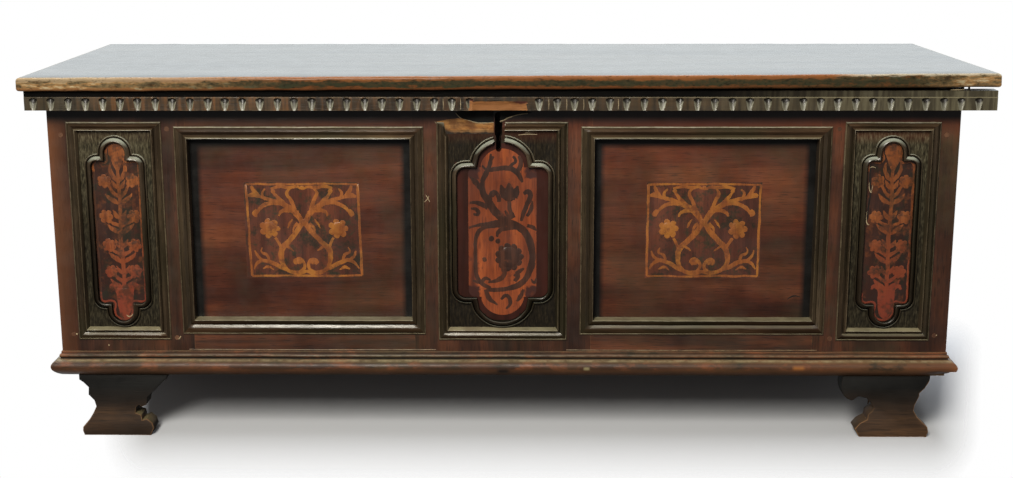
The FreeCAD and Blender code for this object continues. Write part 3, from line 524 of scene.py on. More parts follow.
def stained_walnut(name, grain, shades, dust_and_highlight_setting, clean_below, least, side=colour(108, 95, 74)):
    """Dark walnut for carved and planed work, painted pale on what faces up, partly as dusty bleaching
    and partly as a painted highlight; what is rubbed less than clean_below keeps little of it, and
    least is how dark it is painted towards the floor, as painted shade. Pale lines are painted
    lighter where they face up and take the side colour where they stand upright: painted highlight
    and shade."""
    steep, level, dust_highlight_shade, most = dust_and_highlight_setting
    made = start_wood(name, grain, 30.0, shades, colour(112, 92, 70), 0.0009)
    material, tree, place, wood, wear, tone = made
    green = blotches(tree, place, 5.0, 3.0)
    tone = mixed(tree, spread(tree, green, 0.46, 0.62, 0.0, 0.5), tone, colour(50, 48, 32))
    rub_and_shade = add(tree, "Attribute", attribute_name="rub_and_shade").outputs["Fac"]
    # Lower down the dusty pale and the highlight thin out and the wood is painted darker: painted shade.
    height = axis(tree, place, "Z")
    upper = spread(tree, height, 0.30, 0.50, least, 1.0)
    most = times(tree, most, spread(tree, rub_and_shade, clean_below - 0.08, clean_below, 0.06, 1.0))
    tone = dust_and_highlight(tree, tone, wear, steep, level, dust_highlight_shade, times(tree, most, upper))
    facing = axis(tree, add(tree, "TexCoord").outputs["Normal"], "Z")
    # Pale lines: lighter where they face up, the side colour where upright: painted highlight and shade.
    pale = mixed(tree, spread(tree, facing, 0.0, 0.5), side, colour(186, 180, 158))
    tone = wax_wear_and_shading(tree, place, tone, pale)
    tone = mixed(tree, 1.0, tone, upper, "MULTIPLY")
    shine = times(tree, upper, spread(tree, facing, -0.1, 0.4, 0.35, 1.0))
    shine = times(tree, shine, spread(tree, rub_and_shade, clean_below - 0.08, clean_below, 0.15, 1.0))
    return finish_wood(material, tree, wood, wear, tone, (0.28, 0.46), 0.25, 0.45, shine)


# Mouldings are painted dusty pale with a painted highlight on what faces up.
moulding_dust_and_highlight = 0.25, 0.75, colour(162, 154, 122), 0.85
stained = colour(38, 28, 20), colour(66, 48, 34), colour(98, 74, 54)
greyed = colour(36, 30, 23), colour(62, 51, 39), colour(92, 78, 60)
moulding_level = stained_walnut("moulding_level", "x", stained, moulding_dust_and_highlight, 0.50, 0.90)
moulding_upright = stained_walnut("moulding_upright", "z", greyed, moulding_dust_and_highlight, 0.50, 0.90)


def piece(name, bm, material, body, slot, *replaced, smooth_below=40.0):
    """Makes the object of a finished mesh, sets what it rides on and what it stands for."""
    bmesh.ops.recalc_face_normals(bm, faces=bm.faces)
    for edge in bm.edges:
        sharp = len(edge.link_faces) != 2 or edge.calc_face_angle(0.0) > math.radians(smooth_below)
        edge.smooth = not sharp
    for surface in bm.faces:
        surface.smooth = True
    mesh = bpy.data.meshes.new(name)
    bm.to_mesh(mesh)
    bm.free()
    mesh.materials.append(material)
    made_object = bpy.data.objects.new(name, mesh)
    bpy.context.scene.collection.objects.link(made_object)
    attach(made_object, body)
    if replaced:
        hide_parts(*replaced)
    return made_object


def sweep(bm, rows, closed, rub_and_shade_values=None):
    """Draws a line of points through its profile; each row is where one line of it runs, and the
    last list tells how worn each line is and how light or dark it is painted."""
    rub_and_shade = bm.verts.layers.float.new("rub_and_shade")
    rub_and_shade_values = rub_and_shade_values or [0.5] * len(rows)
    corners = [bm.verts.new(point) for point in rows[0]]
    for corner in corners:
        corner[rub_and_shade] = rub_and_shade_values[0]
    ends = corners[1:] + corners[:1] if closed else corners[1:]
    edges = [bm.edges.new(pair) for pair in zip(corners, ends)]
    for row, worn in zip(rows[1:] + rows[:1], rub_and_shade_values[1:] + rub_and_shade_values[:1]):
        grown = bmesh.ops.extrude_edge_only(bm, edges=edges)["geom"]
        edges = [part for part in grown if isinstance(part, bmesh.types.BMEdge)]
        fresh = {part for part in grown if isinstance(part, bmesh.types.BMVert)}
        following = []
        for corner, point in zip(corners, row):
            for edge in corner.link_edges:
                if edge.other_vert(corner) in fresh:
                    following.append(edge.other_vert(corner))
                    following[-1].co = point
                    following[-1][rub_and_shade] = worn
                    break
        corners = following
    bmesh.ops.remove_doubles(bm, verts=bm.verts, dist=1e-7)
    open_edges = [edge for edge in bm.edges if edge.is_boundary]
    if open_edges:
        bmesh.ops.holes_fill(bm, edges=open_edges, sides=0)


noise_seed = 5
noise.seed_set(noise_seed)  # without one, noise_vector starts from the time of day


def hand_planed(point, seed, amount=0.0004, size=22.0):
    """Moves a point a little, as a hand plane and a few centuries do."""
    return point + amount * noise.noise_vector((point + Vector((seed, 0, 0))) * size)


def rectangle(low_x, high_x, low_z, high_z, inset, shares=(1.0, 1.0), step=0.011):
    """Points round a rectangle of the front, drawn in by an inset, the same number for each.
    The sides and the foot take their own share of the inset, as the strips differ in width."""
    across = max(2, round((high_x - low_x) / step))
    upward = max(2, round((high_z - low_z) / step))
    aside, below = inset * shares[0], inset * shares[1]
    corners = [
        (low_x + aside, low_z + below, across),
        (high_x - aside, low_z + below, upward),
        (high_x - aside, high_z - inset, across),
        (low_x + aside, high_z - inset, upward),
    ]
    points = []
    for (x0, z0, count), (x1, z1, _) in zip(corners, corners[1:] + corners[:1]):
        for index in range(count):
            share = index / count
            points.append((x0 + (x1 - x0) * share, z0 + (z1 - z0) * share))
    return points


panel_lip = 20.3


def moulding_profile(ridge, groove, crest, foot, sunk):
    """For each line of the moulding: how far in from the outer edge and how high above the frame
    it runs, in millimetres, and how worn it is, which also sets its painted highlight and shade."""
    profile = [(0.0, -0.6, 0.5), (0.0, 1.6, 0.8), (0.3, 2.1, 1.0), (1.7, 3.0, 1.0), (2.2, 1.9, 0.1)]
    for share in (0.12, 0.4, 0.7, 1.0):
        profile.append((2.2 + (ridge - 2.2) * share, 1.9 + 3.8 * share**0.8, 0.40))
    for share in (0.3, 0.65, 1.0):
        profile.append((ridge + (groove - ridge) * share, 5.7 - 3.0 * share**1.5, 0.62 - 0.10 * share))
    profile += [(groove + 0.5, 2.5, 0.0), (groove + 0.9, 3.4, 0.2), (crest - 1.5, 7.5, 0.5)]
    profile += [(crest - 1.0, 7.5, 0.0), (crest - 0.5, 8.7, 0.8)]
    profile += [(crest + 0.2, 9.0, 0.95), (crest + 0.8, 8.2, 0.6)]
    for share in (0.35, 0.7, 1.0):
        inward = crest + 0.8 + (foot - crest - 0.8) * share
        profile.append((inward, 8.2 - (8.2 + sunk) * share, 0.5))
    if sunk > 1:
        profile += [(panel_lip, -sunk, 0.0), (panel_lip, -0.6, 0.0)]
    else:
        profile.append((foot, -0.6, 0.0))
    return profile


panel_profile = moulding_profile(8.2, 13.4, 20.4, 21.6, 14.4)
panel_shares = (1.12, 1.36)
pilaster_profile = moulding_profile(6.4, 10.2, 13.9, 17.5, -0.8)
pilaster_shares = (1.18, 1.40)


def mitred(moulding, low, high, shares):
    """Gives the upright strips of a moulding their own run of grain."""
    moulding.data.materials.append(moulding_upright)
    for surface in moulding.data.polygons:
        centre = surface.center
        aside = min(centre.x - low.x, high.x - centre.x) / shares[0]
        if aside < min((centre.z - low.z) / shares[1], high.z - centre.z):
            surface.material_index = 1


def moulding_round(name, seed, profile, shares=(1.0, 1.0)):
    """A mitred moulding on the rectangle of its node."""
    low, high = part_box(name)
    rows = []
    for inset, height, _ in profile:
        row = []
        for x, z in rectangle(low.x, high.x, low.z, high.z, inset * MM, shares):
            row.append(hand_planed(Vector((x, face_y - height * MM, z)), seed))
        rows.append(row)
    bm = bmesh.new()
    sweep(bm, rows, True, [rub_and_shade for _, _, rub_and_shade in profile])
    mitred(piece("planed_" + name, bm, moulding_level, "carcass", "dark_walnut", name), low, high, shares)


for seed, side in enumerate(("left", "right")):
    moulding_round("panel_moulding_" + side, 3.0 + seed, panel_profile, panel_shares)
    moulding_round("pilaster_moulding_" + side, 6.0 + seed, pilaster_profile, pilaster_shares)

# The moulding round the centre field has lost the left half of its top strip, up to the keyhole.
low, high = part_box("pilaster_moulding_centre")
keyhole_low, keyhole_high = Vector((-0.0223, 0, 0.532)), Vector((-0.0087, 0, 0.603))
lost_from, lost_past_keyhole = low.x + 0.013, 0.002
torn = 0.003
rows = []
for inset, height, _ in pilaster_profile:
    around = rectangle(low.x, high.x, low.z, high.z, inset * MM, pilaster_shares)
    highest = max(z for _, z in around)
    on_top = [index for index, (_, z) in enumerate(around) if z > highest - 1e-6]
    gone = [index for index in on_top if lost_from < around[index][0] < keyhole_high.x + lost_past_keyhole]
    kept = around[max(gone) + 1 :] + around[: min(gone)]
    row = []
    for index, (x, z) in enumerate(kept):
        point = hand_planed(Vector((x, face_y - height * MM, z)), 9.0)
        if index in (0, len(kept) - 1):
            point.x += torn * noise.noise(Vector((inset * 0.4, height, 4.0)))
        row.append(point)
    rows.append(row)
bm = bmesh.new()
sweep(bm, rows, False, [rub_and_shade for _, _, rub_and_shade in pilaster_profile])
node = "pilaster_moulding_centre"
moulding = piece("planed_moulding_centre", bm, moulding_level, "carcass", "dark_walnut", node)
mitred(moulding, low, high, pilaster_shares)

# Cartouches: lobed rings cut from one board of dark walnut and carved to a narrow outer edge, a
# groove and a round crest, glued to the stiles.
# The rings are painted dusty pale with a painted highlight on what faces up, darker low down, and their
# upright pale lines take a dark side colour: painted shade.
ring_dust_and_highlight = 0.30, 0.72, colour(178, 184, 168), 0.90
ring_walnut = stained_walnut("ring_walnut", "z", greyed, ring_dust_and_highlight, 0.20, 0.48, colour(66, 60, 45))
ring_profile = [(0, -0.6, 0.3), (0, 3.6, 0.7), (0.5, 4.2, 1.0), (1.9, 4.2, 0.9), (2.5, 3.2, 0.1)]
ring_profile += [(3.0, 2.6, 0.0), (4.0, 2.6, 0.0), (5.0, 4.4, 0.35), (6.6, 6.6, 0.45)]
ring_profile += [(8.2, 8.2, 0.5), (9.8, 9.0, 0.55), (11.2, 8.6, 0.5), (12.0, 7.4, 0.1), (12.0, -0.6, 0.0)]


def lobed(width, height, arch_width, arch_rise, step, ear, inset):
    """Points round a cartouche about its middle, drawn in by an inset, in millimetres."""
    arch_half = arch_width / 2
    arch_radius = (arch_half**2 + arch_rise**2) / (2 * arch_rise)
    arch_centre = height / 2 - arch_radius
    ear_x = width / 2 - ear
    ear_z = height / 2 - arch_rise - step - ear
    ear_r = ear - inset
    flat_x = arch_half + 0.35 * step - inset
    step_x = arch_half - inset
    spring = math.atan2(math.sqrt((arch_radius - inset) ** 2 - step_x**2), step_x)
    quarter = []
    for index in range(14):
        quarter.append((width / 2 - inset, ear_z * index / 14))
    for index in range(7):
        turned = math.pi / 2 * index / 6
        quarter.append((ear_x + ear_r * math.cos(turned), ear_z + ear_r * math.sin(turned)))
    quarter.append((flat_x, ear_z + ear_r))
    for index in range(12):
        turned = spring + (math.pi / 2 - spring) * index / 12
        x = (arch_radius - inset) * math.cos(turned)
        quarter.append((x, arch_centre + (arch_radius - inset) * math.sin(turned)))
    crown = [(0.0, arch_centre + arch_radius - inset)]
    left = [(-x, z) for x, z in reversed(quarter[1:])]
    upper = quarter + crown + left
    lower = [(-x, -z) for x, z in upper]
    return upper + [(-quarter[0][0], 0.0)] + lower[1:]


end_lobes = (110.0, 353.0, 62.0, 31.0, 2.0, 22.0)
centre_lobes = (187.0, 353.0, 108.0, 33.0, 12.0, 27.0)
keyhole_clear = 0.0072
for seed, name in enumerate(("left", "centre", "right")):
    centre, _ = middle("cartouche_" + name)
    sizes = centre_lobes if name == "centre" else end_lobes
    bm = bmesh.new()
    rows = []
    for inset, height, _ in ring_profile:
        row = []
        for x, z in lobed(*sizes, inset):
            if name == "centre":
                beside = abs(centre.x + x * MM - (keyhole_low.x + keyhole_high.x) / 2) < keyhole_clear
                if beside and z > 0:
                    continue
            point = Vector((centre.x + x * MM, face_y - height * MM, centre.z + z * MM))
            row.append(hand_planed(point, 12.0 + seed, amount=0.0005, size=40.0))
        rows.append(row)
    if name == "centre":
        start = len(lobed(*sizes, 0)) // 4
        rows = [row[start:] + row[:start] for row in rows]
    sweep(bm, rows, name != "centre", [rub_and_shade for _, _, rub_and_shade in ring_profile])
    piece("carved_cartouche_" + name, bm, ring_walnut, "carcass", "dark_walnut", "cartouche_" + name)

# Marquetry: drawn scrolls sawn from pale and dark woods and let into the ground so that they lie
# almost flush. The wide panels carry a square with a flower on each side of crossed stems.
def drawn_lines(lines, flatness=0.035):
    """Tapered strokes through points in millimetres, each with its half widths, as one mesh."""
    curve = bpy.data.curves.new("drawn_lines", "CURVE")
    curve.dimensions = "3D"
    curve.fill_mode = "FULL"
    curve.bevel_depth = MM
    curve.bevel_resolution = 1
    curve.resolution_u = 5
    curve.use_fill_caps = True
    for points, widths in lines:
        spline = curve.splines.new("BEZIER")
        spline.bezier_points.add(len(points) - 1)
        for index, (knot, (x, z)) in enumerate(zip(spline.bezier_points, points)):
            knot.co = (x * MM, 0.0, z * MM)
            knot.handle_left_type = knot.handle_right_type = "AUTO"
            share = index / (len(points) - 1) * (len(widths) - 1)
            before = min(int(share), len(widths) - 2)
            knot.radius = widths[before] + (widths[before + 1] - widths[before]) * (share - before)
    holder = bpy.data.objects.new("drawn_lines", curve)
    mesh = bpy.data.meshes.new_from_object(holder)
    bpy.data.objects.remove(holder)
    bpy.data.curves.remove(curve)
    bm = bmesh.new()
    bm.from_mesh(mesh)
    bpy.data.meshes.remove(mesh)
    bmesh.ops.scale(bm, vec=(1.0, flatness, 1.0), verts=bm.verts)
    bmesh.ops.remove_doubles(bm, verts=bm.verts, dist=1e-6)
    return bm


def add_lines(bm, lines):
    """Adds more strokes to a drawing."""
    strokes = drawn_lines(lines)
    holder = bpy.data.meshes.new("strokes")
    strokes.to_mesh(holder)
    strokes.free()
    bm.from_mesh(holder)
    bpy.data.meshes.remove(holder)


def blob(bm, x, z, radius, flatness=0.05):
    """A round dot of veneer."""
    made = bmesh.ops.create_uvsphere(bm, u_segments=14, v_segments=6, radius=radius * MM)
    bmesh.ops.scale(bm, vec=(1.0, flatness, 1.0), verts=made["verts"])
    bmesh.ops.translate(bm, vec=(x * MM, 0.0, z * MM), verts=made["verts"])


def flower_head(bm, x, z, reach, lobe, count, turn=0.0):
    """A full round flower with a scalloped edge."""
    blob(bm, x, z, reach)
    for index in range(count):
        turned = math.radians(turn + 360 * index / count)
        blob(bm, x + reach * math.cos(turned), z + reach * math.sin(turned), lobe, 0.04)


def mirrored_lines(lines):
    return [([(-x, z) for x, z in points], widths) for points, widths in lines]


sway, sway_size = 0.0016, 45
fray, fray_size = 0.0009, 190


def let_in(name, bm, centre, surface_y, material, wander):
    """Sets a drawing in its ground, with the small unevenness of sawn veneer."""
    bmesh.ops.translate(bm, vec=(centre.x, surface_y, centre.z), verts=bm.verts)
    for corner in bm.verts:
        moved = noise.noise_vector(Vector((corner.co.x * sway_size, wander, corner.co.z * sway_size)))
        ragged = noise.noise_vector(Vector((corner.co.x * fray_size, wander, corner.co.z * fray_size)))
        corner.co.x += sway * moved.x + fray * ragged.x
        corner.co.z += sway * moved.z + fray * ragged.z
    piece(name, bm, material, "carcass", "inlay_wood")


def veneer(name, ring_size, shades, gloss, fade, fade_from=0.52, grime=0.0, **stains):
    """Thin sawn wood, stained by age; fade gives the shade of the ground that shows through. Of
    the stains, golden is the shade of its paler patches and foot its shade low down, while rim
    and edge are functions that colour it before the fading and after it."""
    material, tree, place, wood, wear, tone = start_wood(name, "z", ring_size, shades, shades[2], 0.0004)
    if "foot" in stains:
        low_down = spread(tree, axis(tree, place, "Z"), 0.42, 0.26, 0.0, 0.85)
        tone = mixed(tree, low_down, tone, stains["foot"])
    if "golden" in stains:
        streaky = blotches(tree, place, 24.0, 4.0)
        tone = mixed(tree, spread(tree, streaky, 0.48, 0.62, 0.0, 0.8), tone, stains["golden"])
    if "rim" in stains:
        tone = stains["rim"](tree, place, tone)
    patchy = blotches(tree, place, 52.0, 5.0, 0.7)
    tone = mixed(tree, spread(tree, patchy, fade_from, fade_from + 0.12, 0.0, 0.85), tone, fade)
    if "edge" in stains:
        tone = stains["edge"](tree, place, tone)
    if grime:
        dark = blotches(tree, place, 27.0, 6.0, 0.75)
        tone = mixed(tree, spread(tree, dark, 0.50, 0.60, 0.0, grime), tone, colour(38, 36, 25))
    return finish_wood(material, tree, wood, wear, tone, gloss, relief=0.1)


square_ground = veneer(
    "square_ground",
    34.0,
    (colour(62, 35, 26), colour(92, 50, 36), colour(116, 64, 42)),
    (0.30, 0.50),
    fade=colour(54, 50, 34),
    grime=0.8,
)
square_line = veneer(
    "square_line",
    60.0,
    (colour(116, 64, 32), colour(150, 86, 40), colour(176, 106, 52)),
    (0.30, 0.50),
    fade=colour(108, 60, 36),
    golden=colour(172, 110, 44),
    grime=0.3,
)
square_half = [
    ([(-3, 15), (-13, 32), (-27, 43), (-48, 53), (-72, 60), (-97, 63)], (5.0, 6.4, 5.8, 4.6, 3.2, 2.0)),
    ([(-40, 48), (-57, 50), (-76, 42), (-86, 26)], (3.0, 4.2, 4.0, 1.4)),
    ([(-30, 46), (-42, 58), (-52, 70)], (3.4, 4.2, 2.2)),
    ([(-14, 38), (-20, 54), (-27, 68), (-22, 76)], (4.0, 3.8, 3.4, 2.0)),
    ([(-56, 77), (-40, 80), (-24, 78), (-10, 80), (-2, 76)], (2.4, 3.4, 3.8, 3.0, 2.0)),
    ([(-8, 33), (-26, 37), (-40, 34), (-45, 26)], (3.4, 4.2, 3.6, 1.6)),
    ([(-10, 12), (-17, 6), (-20, -4)], (3.4, 2.8, 1.2)),
    (
        [(-3, 12), (-14, -4), (-28, -20), (-41, -33), (-45, -48), (-42, -64), (-30, -76), (-12, -79)]
        + [(4, -76)],
        (5.0, 5.4, 5.4, 6.0, 5.4, 4.4, 4.2, 4.4, 2.4),
    ),
    (
        [(-26, -78), (-11, -77), (-4, -69), (-5, -60), (-13, -54), (-20, -58), (-17, -64)],
        (4.0, 4.0, 3.2, 3.4, 4.4, 3.8, 2.2),
    ),
    ([(-90, 82), (-86, 72), (-78, 62)], (2.4, 4.6, 3.0)),
    ([(-97, 63), (-90, 66), (-84, 64)], (2.4, 4.0, 2.0)),
    ([(-84, 38), (-88, 30), (-84, 26)], (2.0, 4.6, 2.0)),
    ([(-66, 56), (-72, 66), (-66, 76)], (2.4, 3.2, 1.6)),
    ([(-20, 20), (-26, 12), (-30, 4)], (1.0, 2.6, 1.0)),
    ([(-34, -28), (-26, -34), (-21, -38)], (3.0, 2.4, 1.0)),
    ([(-42, -34), (-48, -22), (-53, -14)], (3.2, 2.8, 2.6)),
    (
        [(-30, -76), (-48, -68), (-62, -60), (-78, -56), (-90, -62), (-96, -72)],
        (3.0, 4.4, 4.4, 4.0, 3.2, 1.4),
    ),
    ([(-78, -56), (-88, -48), (-92, -38)], (3.0, 3.0, 1.2)),
    ([(-66, -58), (-70, -46), (-80, -40), (-78, -32)], (2.4, 3.0, 2.4, 1.0)),
    ([(-60, -74), (-70, -68), (-80, -72)], (1.0, 3.4, 1.2)),
]
stringing_in, stringing_width = 3.2, (2.1, 2.1)
left_shift, left_lean = 0.003, 0.030
for seed, side in enumerate(("left", "right")):
    centre, size = middle("inlay_square_" + side)
    bm = drawn_lines(square_half + mirrored_lines(square_half))
    for x, z, radius in ((0, 14, 7), (-13, -59, 5), (13, -59, 5), (-52, 72, 4), (52, 72, 4), (0, 78, 4)):
        blob(bm, x, z, radius)
    for x in (-62, 62):
        flower_head(bm, x, 3, 13, 5.6, 7)
    edge_x, edge_z = size.x / 2 / MM - stringing_in, size.z / 2 / MM - stringing_in
    stringing = []
    for level_z in (edge_z, -edge_z):
        stringing.append(([(-edge_x, level_z), (0, level_z), (edge_x, level_z)], stringing_width))
    for upright_x in (-edge_x, edge_x):
        stringing.append(([(upright_x, -edge_z), (upright_x, 0), (upright_x, edge_z)], stringing_width))
    add_lines(bm, stringing)
    for corner in bm.verts:
        corner.co.x += left_shift - left_lean * corner.co.z if side == "left" else 0.0
    ground_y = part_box("front_panel_" + side)[0].y
    let_in("square_scrolls_" + side, bm, centre, ground_y, square_line, wander=5.0 + 9 * seed)
    dress("inlay_square_" + side, square_ground)

# Inside the end cartouches a single stem climbs from a vase, pale on dark, with a pair of flowers
# at each of four levels and a bud at the top.
end_ground = veneer(
    "end_ground",
    40.0,
    (colour(38, 24, 19), colour(58, 34, 26), colour(82, 46, 32)),
    (0.28, 0.46),
    fade=colour(100, 56, 32),
    foot=colour(50, 28, 21),
    grime=0.8,
)
def dark_edges(tree, place, tone):
    """The stringing has darkened down the left side of each end cartouche."""
    for node in ("inlay_cartouche_left", "inlay_cartouche_right"):
        centre, _ = middle(node)
        centre.x -= 0.050
        edge = inside(tree, place, centre, 0.0145, 0.110, 0.003)
        tone = mixed(tree, times(tree, edge, 0.85), tone, colour(52, 34, 25))
    return tone


end_line = veneer(
    "end_line",
    70.0,
    (colour(98, 52, 27), colour(134, 74, 36), colour(160, 94, 48)),
    (0.30, 0.50),
    fade=colour(70, 44, 32),
    foot=colour(128, 53, 37),
    grime=0.6,
    edge=dark_edges,
)
branches = ((66, 96, 25), (11, 31, 25), (-42, -22, 23), (-91, -70, 22))
stem_half = []
for joint, flower, out in branches:
    stem_half += [
        ([(0, joint), (8, joint + 4), (out - 8, flower - 12), (out - 2, flower - 4)], (4.4, 3.6, 3.0, 3.6)),
        ([(0, joint - 14), (9, joint - 8), (18, joint - 2), (24, joint + 5)], (2.0, 5.0, 4.0, 1.0)),
        ([(0, joint + 12), (7, joint + 20), (12, joint + 30)], (2.0, 4.6, 1.0)),
    ]
stem_half += [
    ([(0, 92), (8, 102), (14, 116), (13, 128)], (2.0, 4.6, 3.6, 1.0)),
    ([(0, -103), (13, -102), (23, -98), (27, -104)], (4.0, 4.2, 4.0, 1.6)),
]
stem_whole = [
    ([(0, -100), (1, -60), (-1, -10), (1, 40), (0, 90), (0, 118)], (4.2, 4.4, 4.0, 3.6, 3.0)),
    ([(0, 112), (0, 128), (0, 143), (0, 156), (0, 164)], (2.4, 9.0, 15.5, 14.5, 3.0)),
    ([(0, -104), (0, -116), (0, -136), (0, -150), (2, -163)], (17.0, 15.5, 13.5, 10.0, 1.5)),
]
stem_aside = 0.003
edging_in, edging_width = 14.6, (1.7, 1.7)
for seed, side in enumerate(("left", "right")):
    node = "inlay_cartouche_" + side
    centre, _ = middle(node)
    bm = drawn_lines(stem_half + mirrored_lines(stem_half) + stem_whole)
    for _, flower, out in branches:
        for x in (-out, out):
            flower_head(bm, x, flower - 2, 8.0, 4.8, 6, turn=18.0 + 7 * flower)
    bmesh.ops.translate(bm, vec=(stem_aside, 0.0, 0.0), verts=bm.verts)
    outline = lobed(*end_lobes, edging_in)
    add_lines(bm, [(outline + outline[:1], edging_width)])
    let_in("end_scrolls_" + side, bm, centre, face_y, end_line, wander=31.0 + 9 * seed)
    dress(node, end_ground)

# The centre cartouche is the other way round: dark scrolls, a tulip and a round flower sawn into
# a ground of orange fruitwood.
def red_rim(tree, place, tone):
    """Dark red wood is left in a wavy rim round the orange ground."""
    centre = middle("inlay_cartouche_centre")[0] + Vector((0.006, 0.006, 0.006))
    wavy = add(tree, "TexNoise", {"Vector": place, "Scale": 90.0, "Detail": 2.0}).outputs["Color"]
    bent = add(tree, "VectorMath", {0: wavy, 3: 0.012}, operation="SCALE").outputs[0]
    bent = add(tree, "VectorMath", {0: place, 1: bent}, operation="ADD").outputs[0]
    broad = inside(tree, bent, centre, 0.061, 0.098, 0.003)
    tall = inside(tree, bent, centre, 0.040, 0.190, 0.003)
    return mixed(tree, greatest(tree, broad, tall), colour(66, 36, 30), tone)


centre_ground = veneer(
    "centre_ground",
    40.0,
    (colour(84, 42, 28), colour(136, 66, 35), colour(172, 88, 44)),
    (0.28, 0.46),
    fade=colour(96, 50, 34),
    fade_from=0.58,
    rim=red_rim,
)
centre_line = veneer(
    "centre_line",
    60.0,
    (colour(44, 27, 20), colour(66, 39, 28), colour(88, 52, 36)),
    (0.30, 0.50),
    fade=colour(108, 58, 36),
    fade_from=0.62,
)
centre_drawing = [
    (
        [(-34, 98), (-36, 78), (-26, 58), (-12, 38), (8, 20), (28, 11), (44, -4), (52, -26)]
        + [(54, -48), (47, -74), (38, -90), (14, -102), (-8, -106), (-26, -106)],
        (3.0, 5.4, 6.4, 6.6, 6.2, 6.0, 5.8, 5.6, 5.2, 4.4, 3.2),
    ),
    ([(-20, 144), (-21, 126), (-29, 108), (-36, 92)], (1.6, 3.6, 4.4, 4.0)),
    ([(-58, 102), (-48, 92), (-38, 80)], (1.4, 4.6, 4.0)),
    (
        [(-36, 122), (-28, 114), (-12, 116), (6, 118), (24, 112), (32, 100), (36, 92)],
        (1.6, 3.0, 4.6, 4.8, 4.0, 1.8),
    ),
    ([(30, 140), (33, 126), (26, 112)], (2.0, 3.8, 4.0)),
    ([(12, 58), (13, 42), (20, 26)], (3.6, 3.8, 4.2)),
    ([(4, 40), (10, 30), (16, 24)], (1.2, 3.0, 2.4)),
    ([(-6, 56), (-8, 68), (-16, 74), (-23, 66), (-20, 60)], (3.0, 4.0, 3.8, 3.4, 1.6)),
    ([(38, 72), (46, 76), (50, 66), (44, 50), (38, 36), (34, 20)], (2.2, 4.4, 4.2, 3.8, 3.6, 2.0)),
    ([(54, 58), (52, 44), (44, 30)], (1.2, 3.6, 2.4)),
    ([(-58, 55), (-42, 54), (-26, 46)], (1.8, 3.8, 4.0)),
    ([(-57, 44), (-46, 42), (-44, 34), (-52, 34)], (1.8, 3.8, 3.4, 1.6)),
    ([(-60, 9), (-40, 14), (-16, 17), (2, 20)], (1.8, 3.2, 4.0, 4.4)),
    (
        [(6, 14), (-14, 12), (-36, 8), (-46, -6), (-48, -34), (-48, -66), (-42, -90), (-22, -104)],
        (3.4, 3.6, 3.4, 3.4, 3.2, 3.4, 3.8, 3.4),
    ),
    ([(28, 8), (10, 8), (-6, 2), (-10, -8)], (2.6, 4.0, 3.8, 2.0)),
    ([(2, -66), (3, -76), (-8, -87), (-26, -92)], (4.4, 4.0, 4.0, 1.6)),
    ([(22, -90), (28, -80), (24, -72)], (3.2, 3.6, 1.4)),
    ([(44, -70), (54, -64), (59, -56)], (3.0, 3.6, 1.4)),
    ([(-30, -106), (-24, -122), (-10, -134)], (3.6, 3.8, 1.6)),
    ([(-4, -124), (8, -118), (14, -132), (6, -142)], (1.8, 3.6, 3.6, 1.4)),
    ([(38, -104), (32, -118), (26, -128)], (2.2, 4.0, 1.6)),
    ([(4, 64), (1, 76), (-3, 88)], (5.4, 6.0, 1.2)),
    ([(13, 60), (13, 76), (12, 91)], (8.0, 7.8, 1.4)),
    ([(22, 64), (25, 76), (27, 86)], (5.4, 6.0, 1.2)),
    ([(-17, 140), (-22, 126), (-25, 114)], (3.2, 2.6, 3.4)),
    ([(5, 116), (16, 124), (24, 132), (19, 139)], (1.6, 2.8, 2.8, 2.2)),
    ([(62, 4), (54, 10), (44, 12)], (1.0, 3.6, 3.0)),
    ([(52, -86), (57, -92), (60, -84)], (1.0, 3.0, 1.0)),
    ([(-54, -88), (-40, -92), (-30, -84), (-22, -88)], (1.2, 3.4, 3.0, 1.6)),
    ([(22, -82), (30, -72), (38, -66)], (3.0, 3.6, 1.4)),
]
saw_width = 1.22
centre_drawing = [(points, [saw_width * width for width in widths]) for points, widths in centre_drawing]
centre, _ = middle("inlay_cartouche_centre")
bm = drawn_lines(centre_drawing)
berries = ((-8, -16, 5), (-20, -11, 5.5), (-33, -50, 4.5), (11, 68, 12), (48, 74, 5), (-18, 69, 5))
for x, z, radius in berries:
    blob(bm, x, z, radius, 0.03)
flower_head(bm, 12, -45, 20, 6.4, 11)
let_in("centre_scrolls", bm, centre, face_y, centre_line, wander=61.0)
dress("inlay_cartouche_centre", centre_ground)

# Around the keyhole the wood has broken away and been worn hollow: bare wood shows where the strip
# of moulding was, and above it the edge is splintered.
raw_shades = colour(98, 56, 28), colour(168, 112, 56), colour(212, 162, 98)
made = start_wood("bare_wood", "x", 26.0, raw_shades, colour(196, 160, 118), 0.001)
material, tree, place, wood, wear, tone = made
blots = blotches(tree, place, 42.0, 4.0)
tone = mixed(tree, spread(tree, blots, 0.52, 0.66, 0.0, 0.7), tone, colour(96, 54, 30))
height = axis(tree, place, "Z")
height = sums(tree, "ADD", height, spread(tree, blots, 0.3, 0.7, -0.004, 0.004))
dark_line = times(tree, spread(tree, height, 0.574, 0.566), spread(tree, height, 0.550, 0.556))
tone = mixed(tree, dark_line, tone, colour(40, 30, 21))
tone = mixed(tree, spread(tree, height, 0.600, 0.605, 0.0, 0.5), tone, colour(160, 106, 58))
tone = mixed(tree, spread(tree, height, 0.6245, 0.6275), tone, colour(72, 30, 20))
bare_wood = finish_wood(material, tree, wood, wear, tone, (0.55, 0.8), relief=0.8, coat=0.0)
made = start_wood("splinter_wood", "x", 40.0, (colour(170, 150, 116),) * 3, colour(206, 190, 158), 0.001)
material, tree, place, wood, wear, tone = made
splinter_wood = finish_wood(material, tree, wood, wear, tone, (0.5, 0.7), coat=0.0)
made = start_wood("shadowed_wood", "x", 26.0, (colour(22, 19, 16),) * 3, colour(30, 22, 16), 0.001)
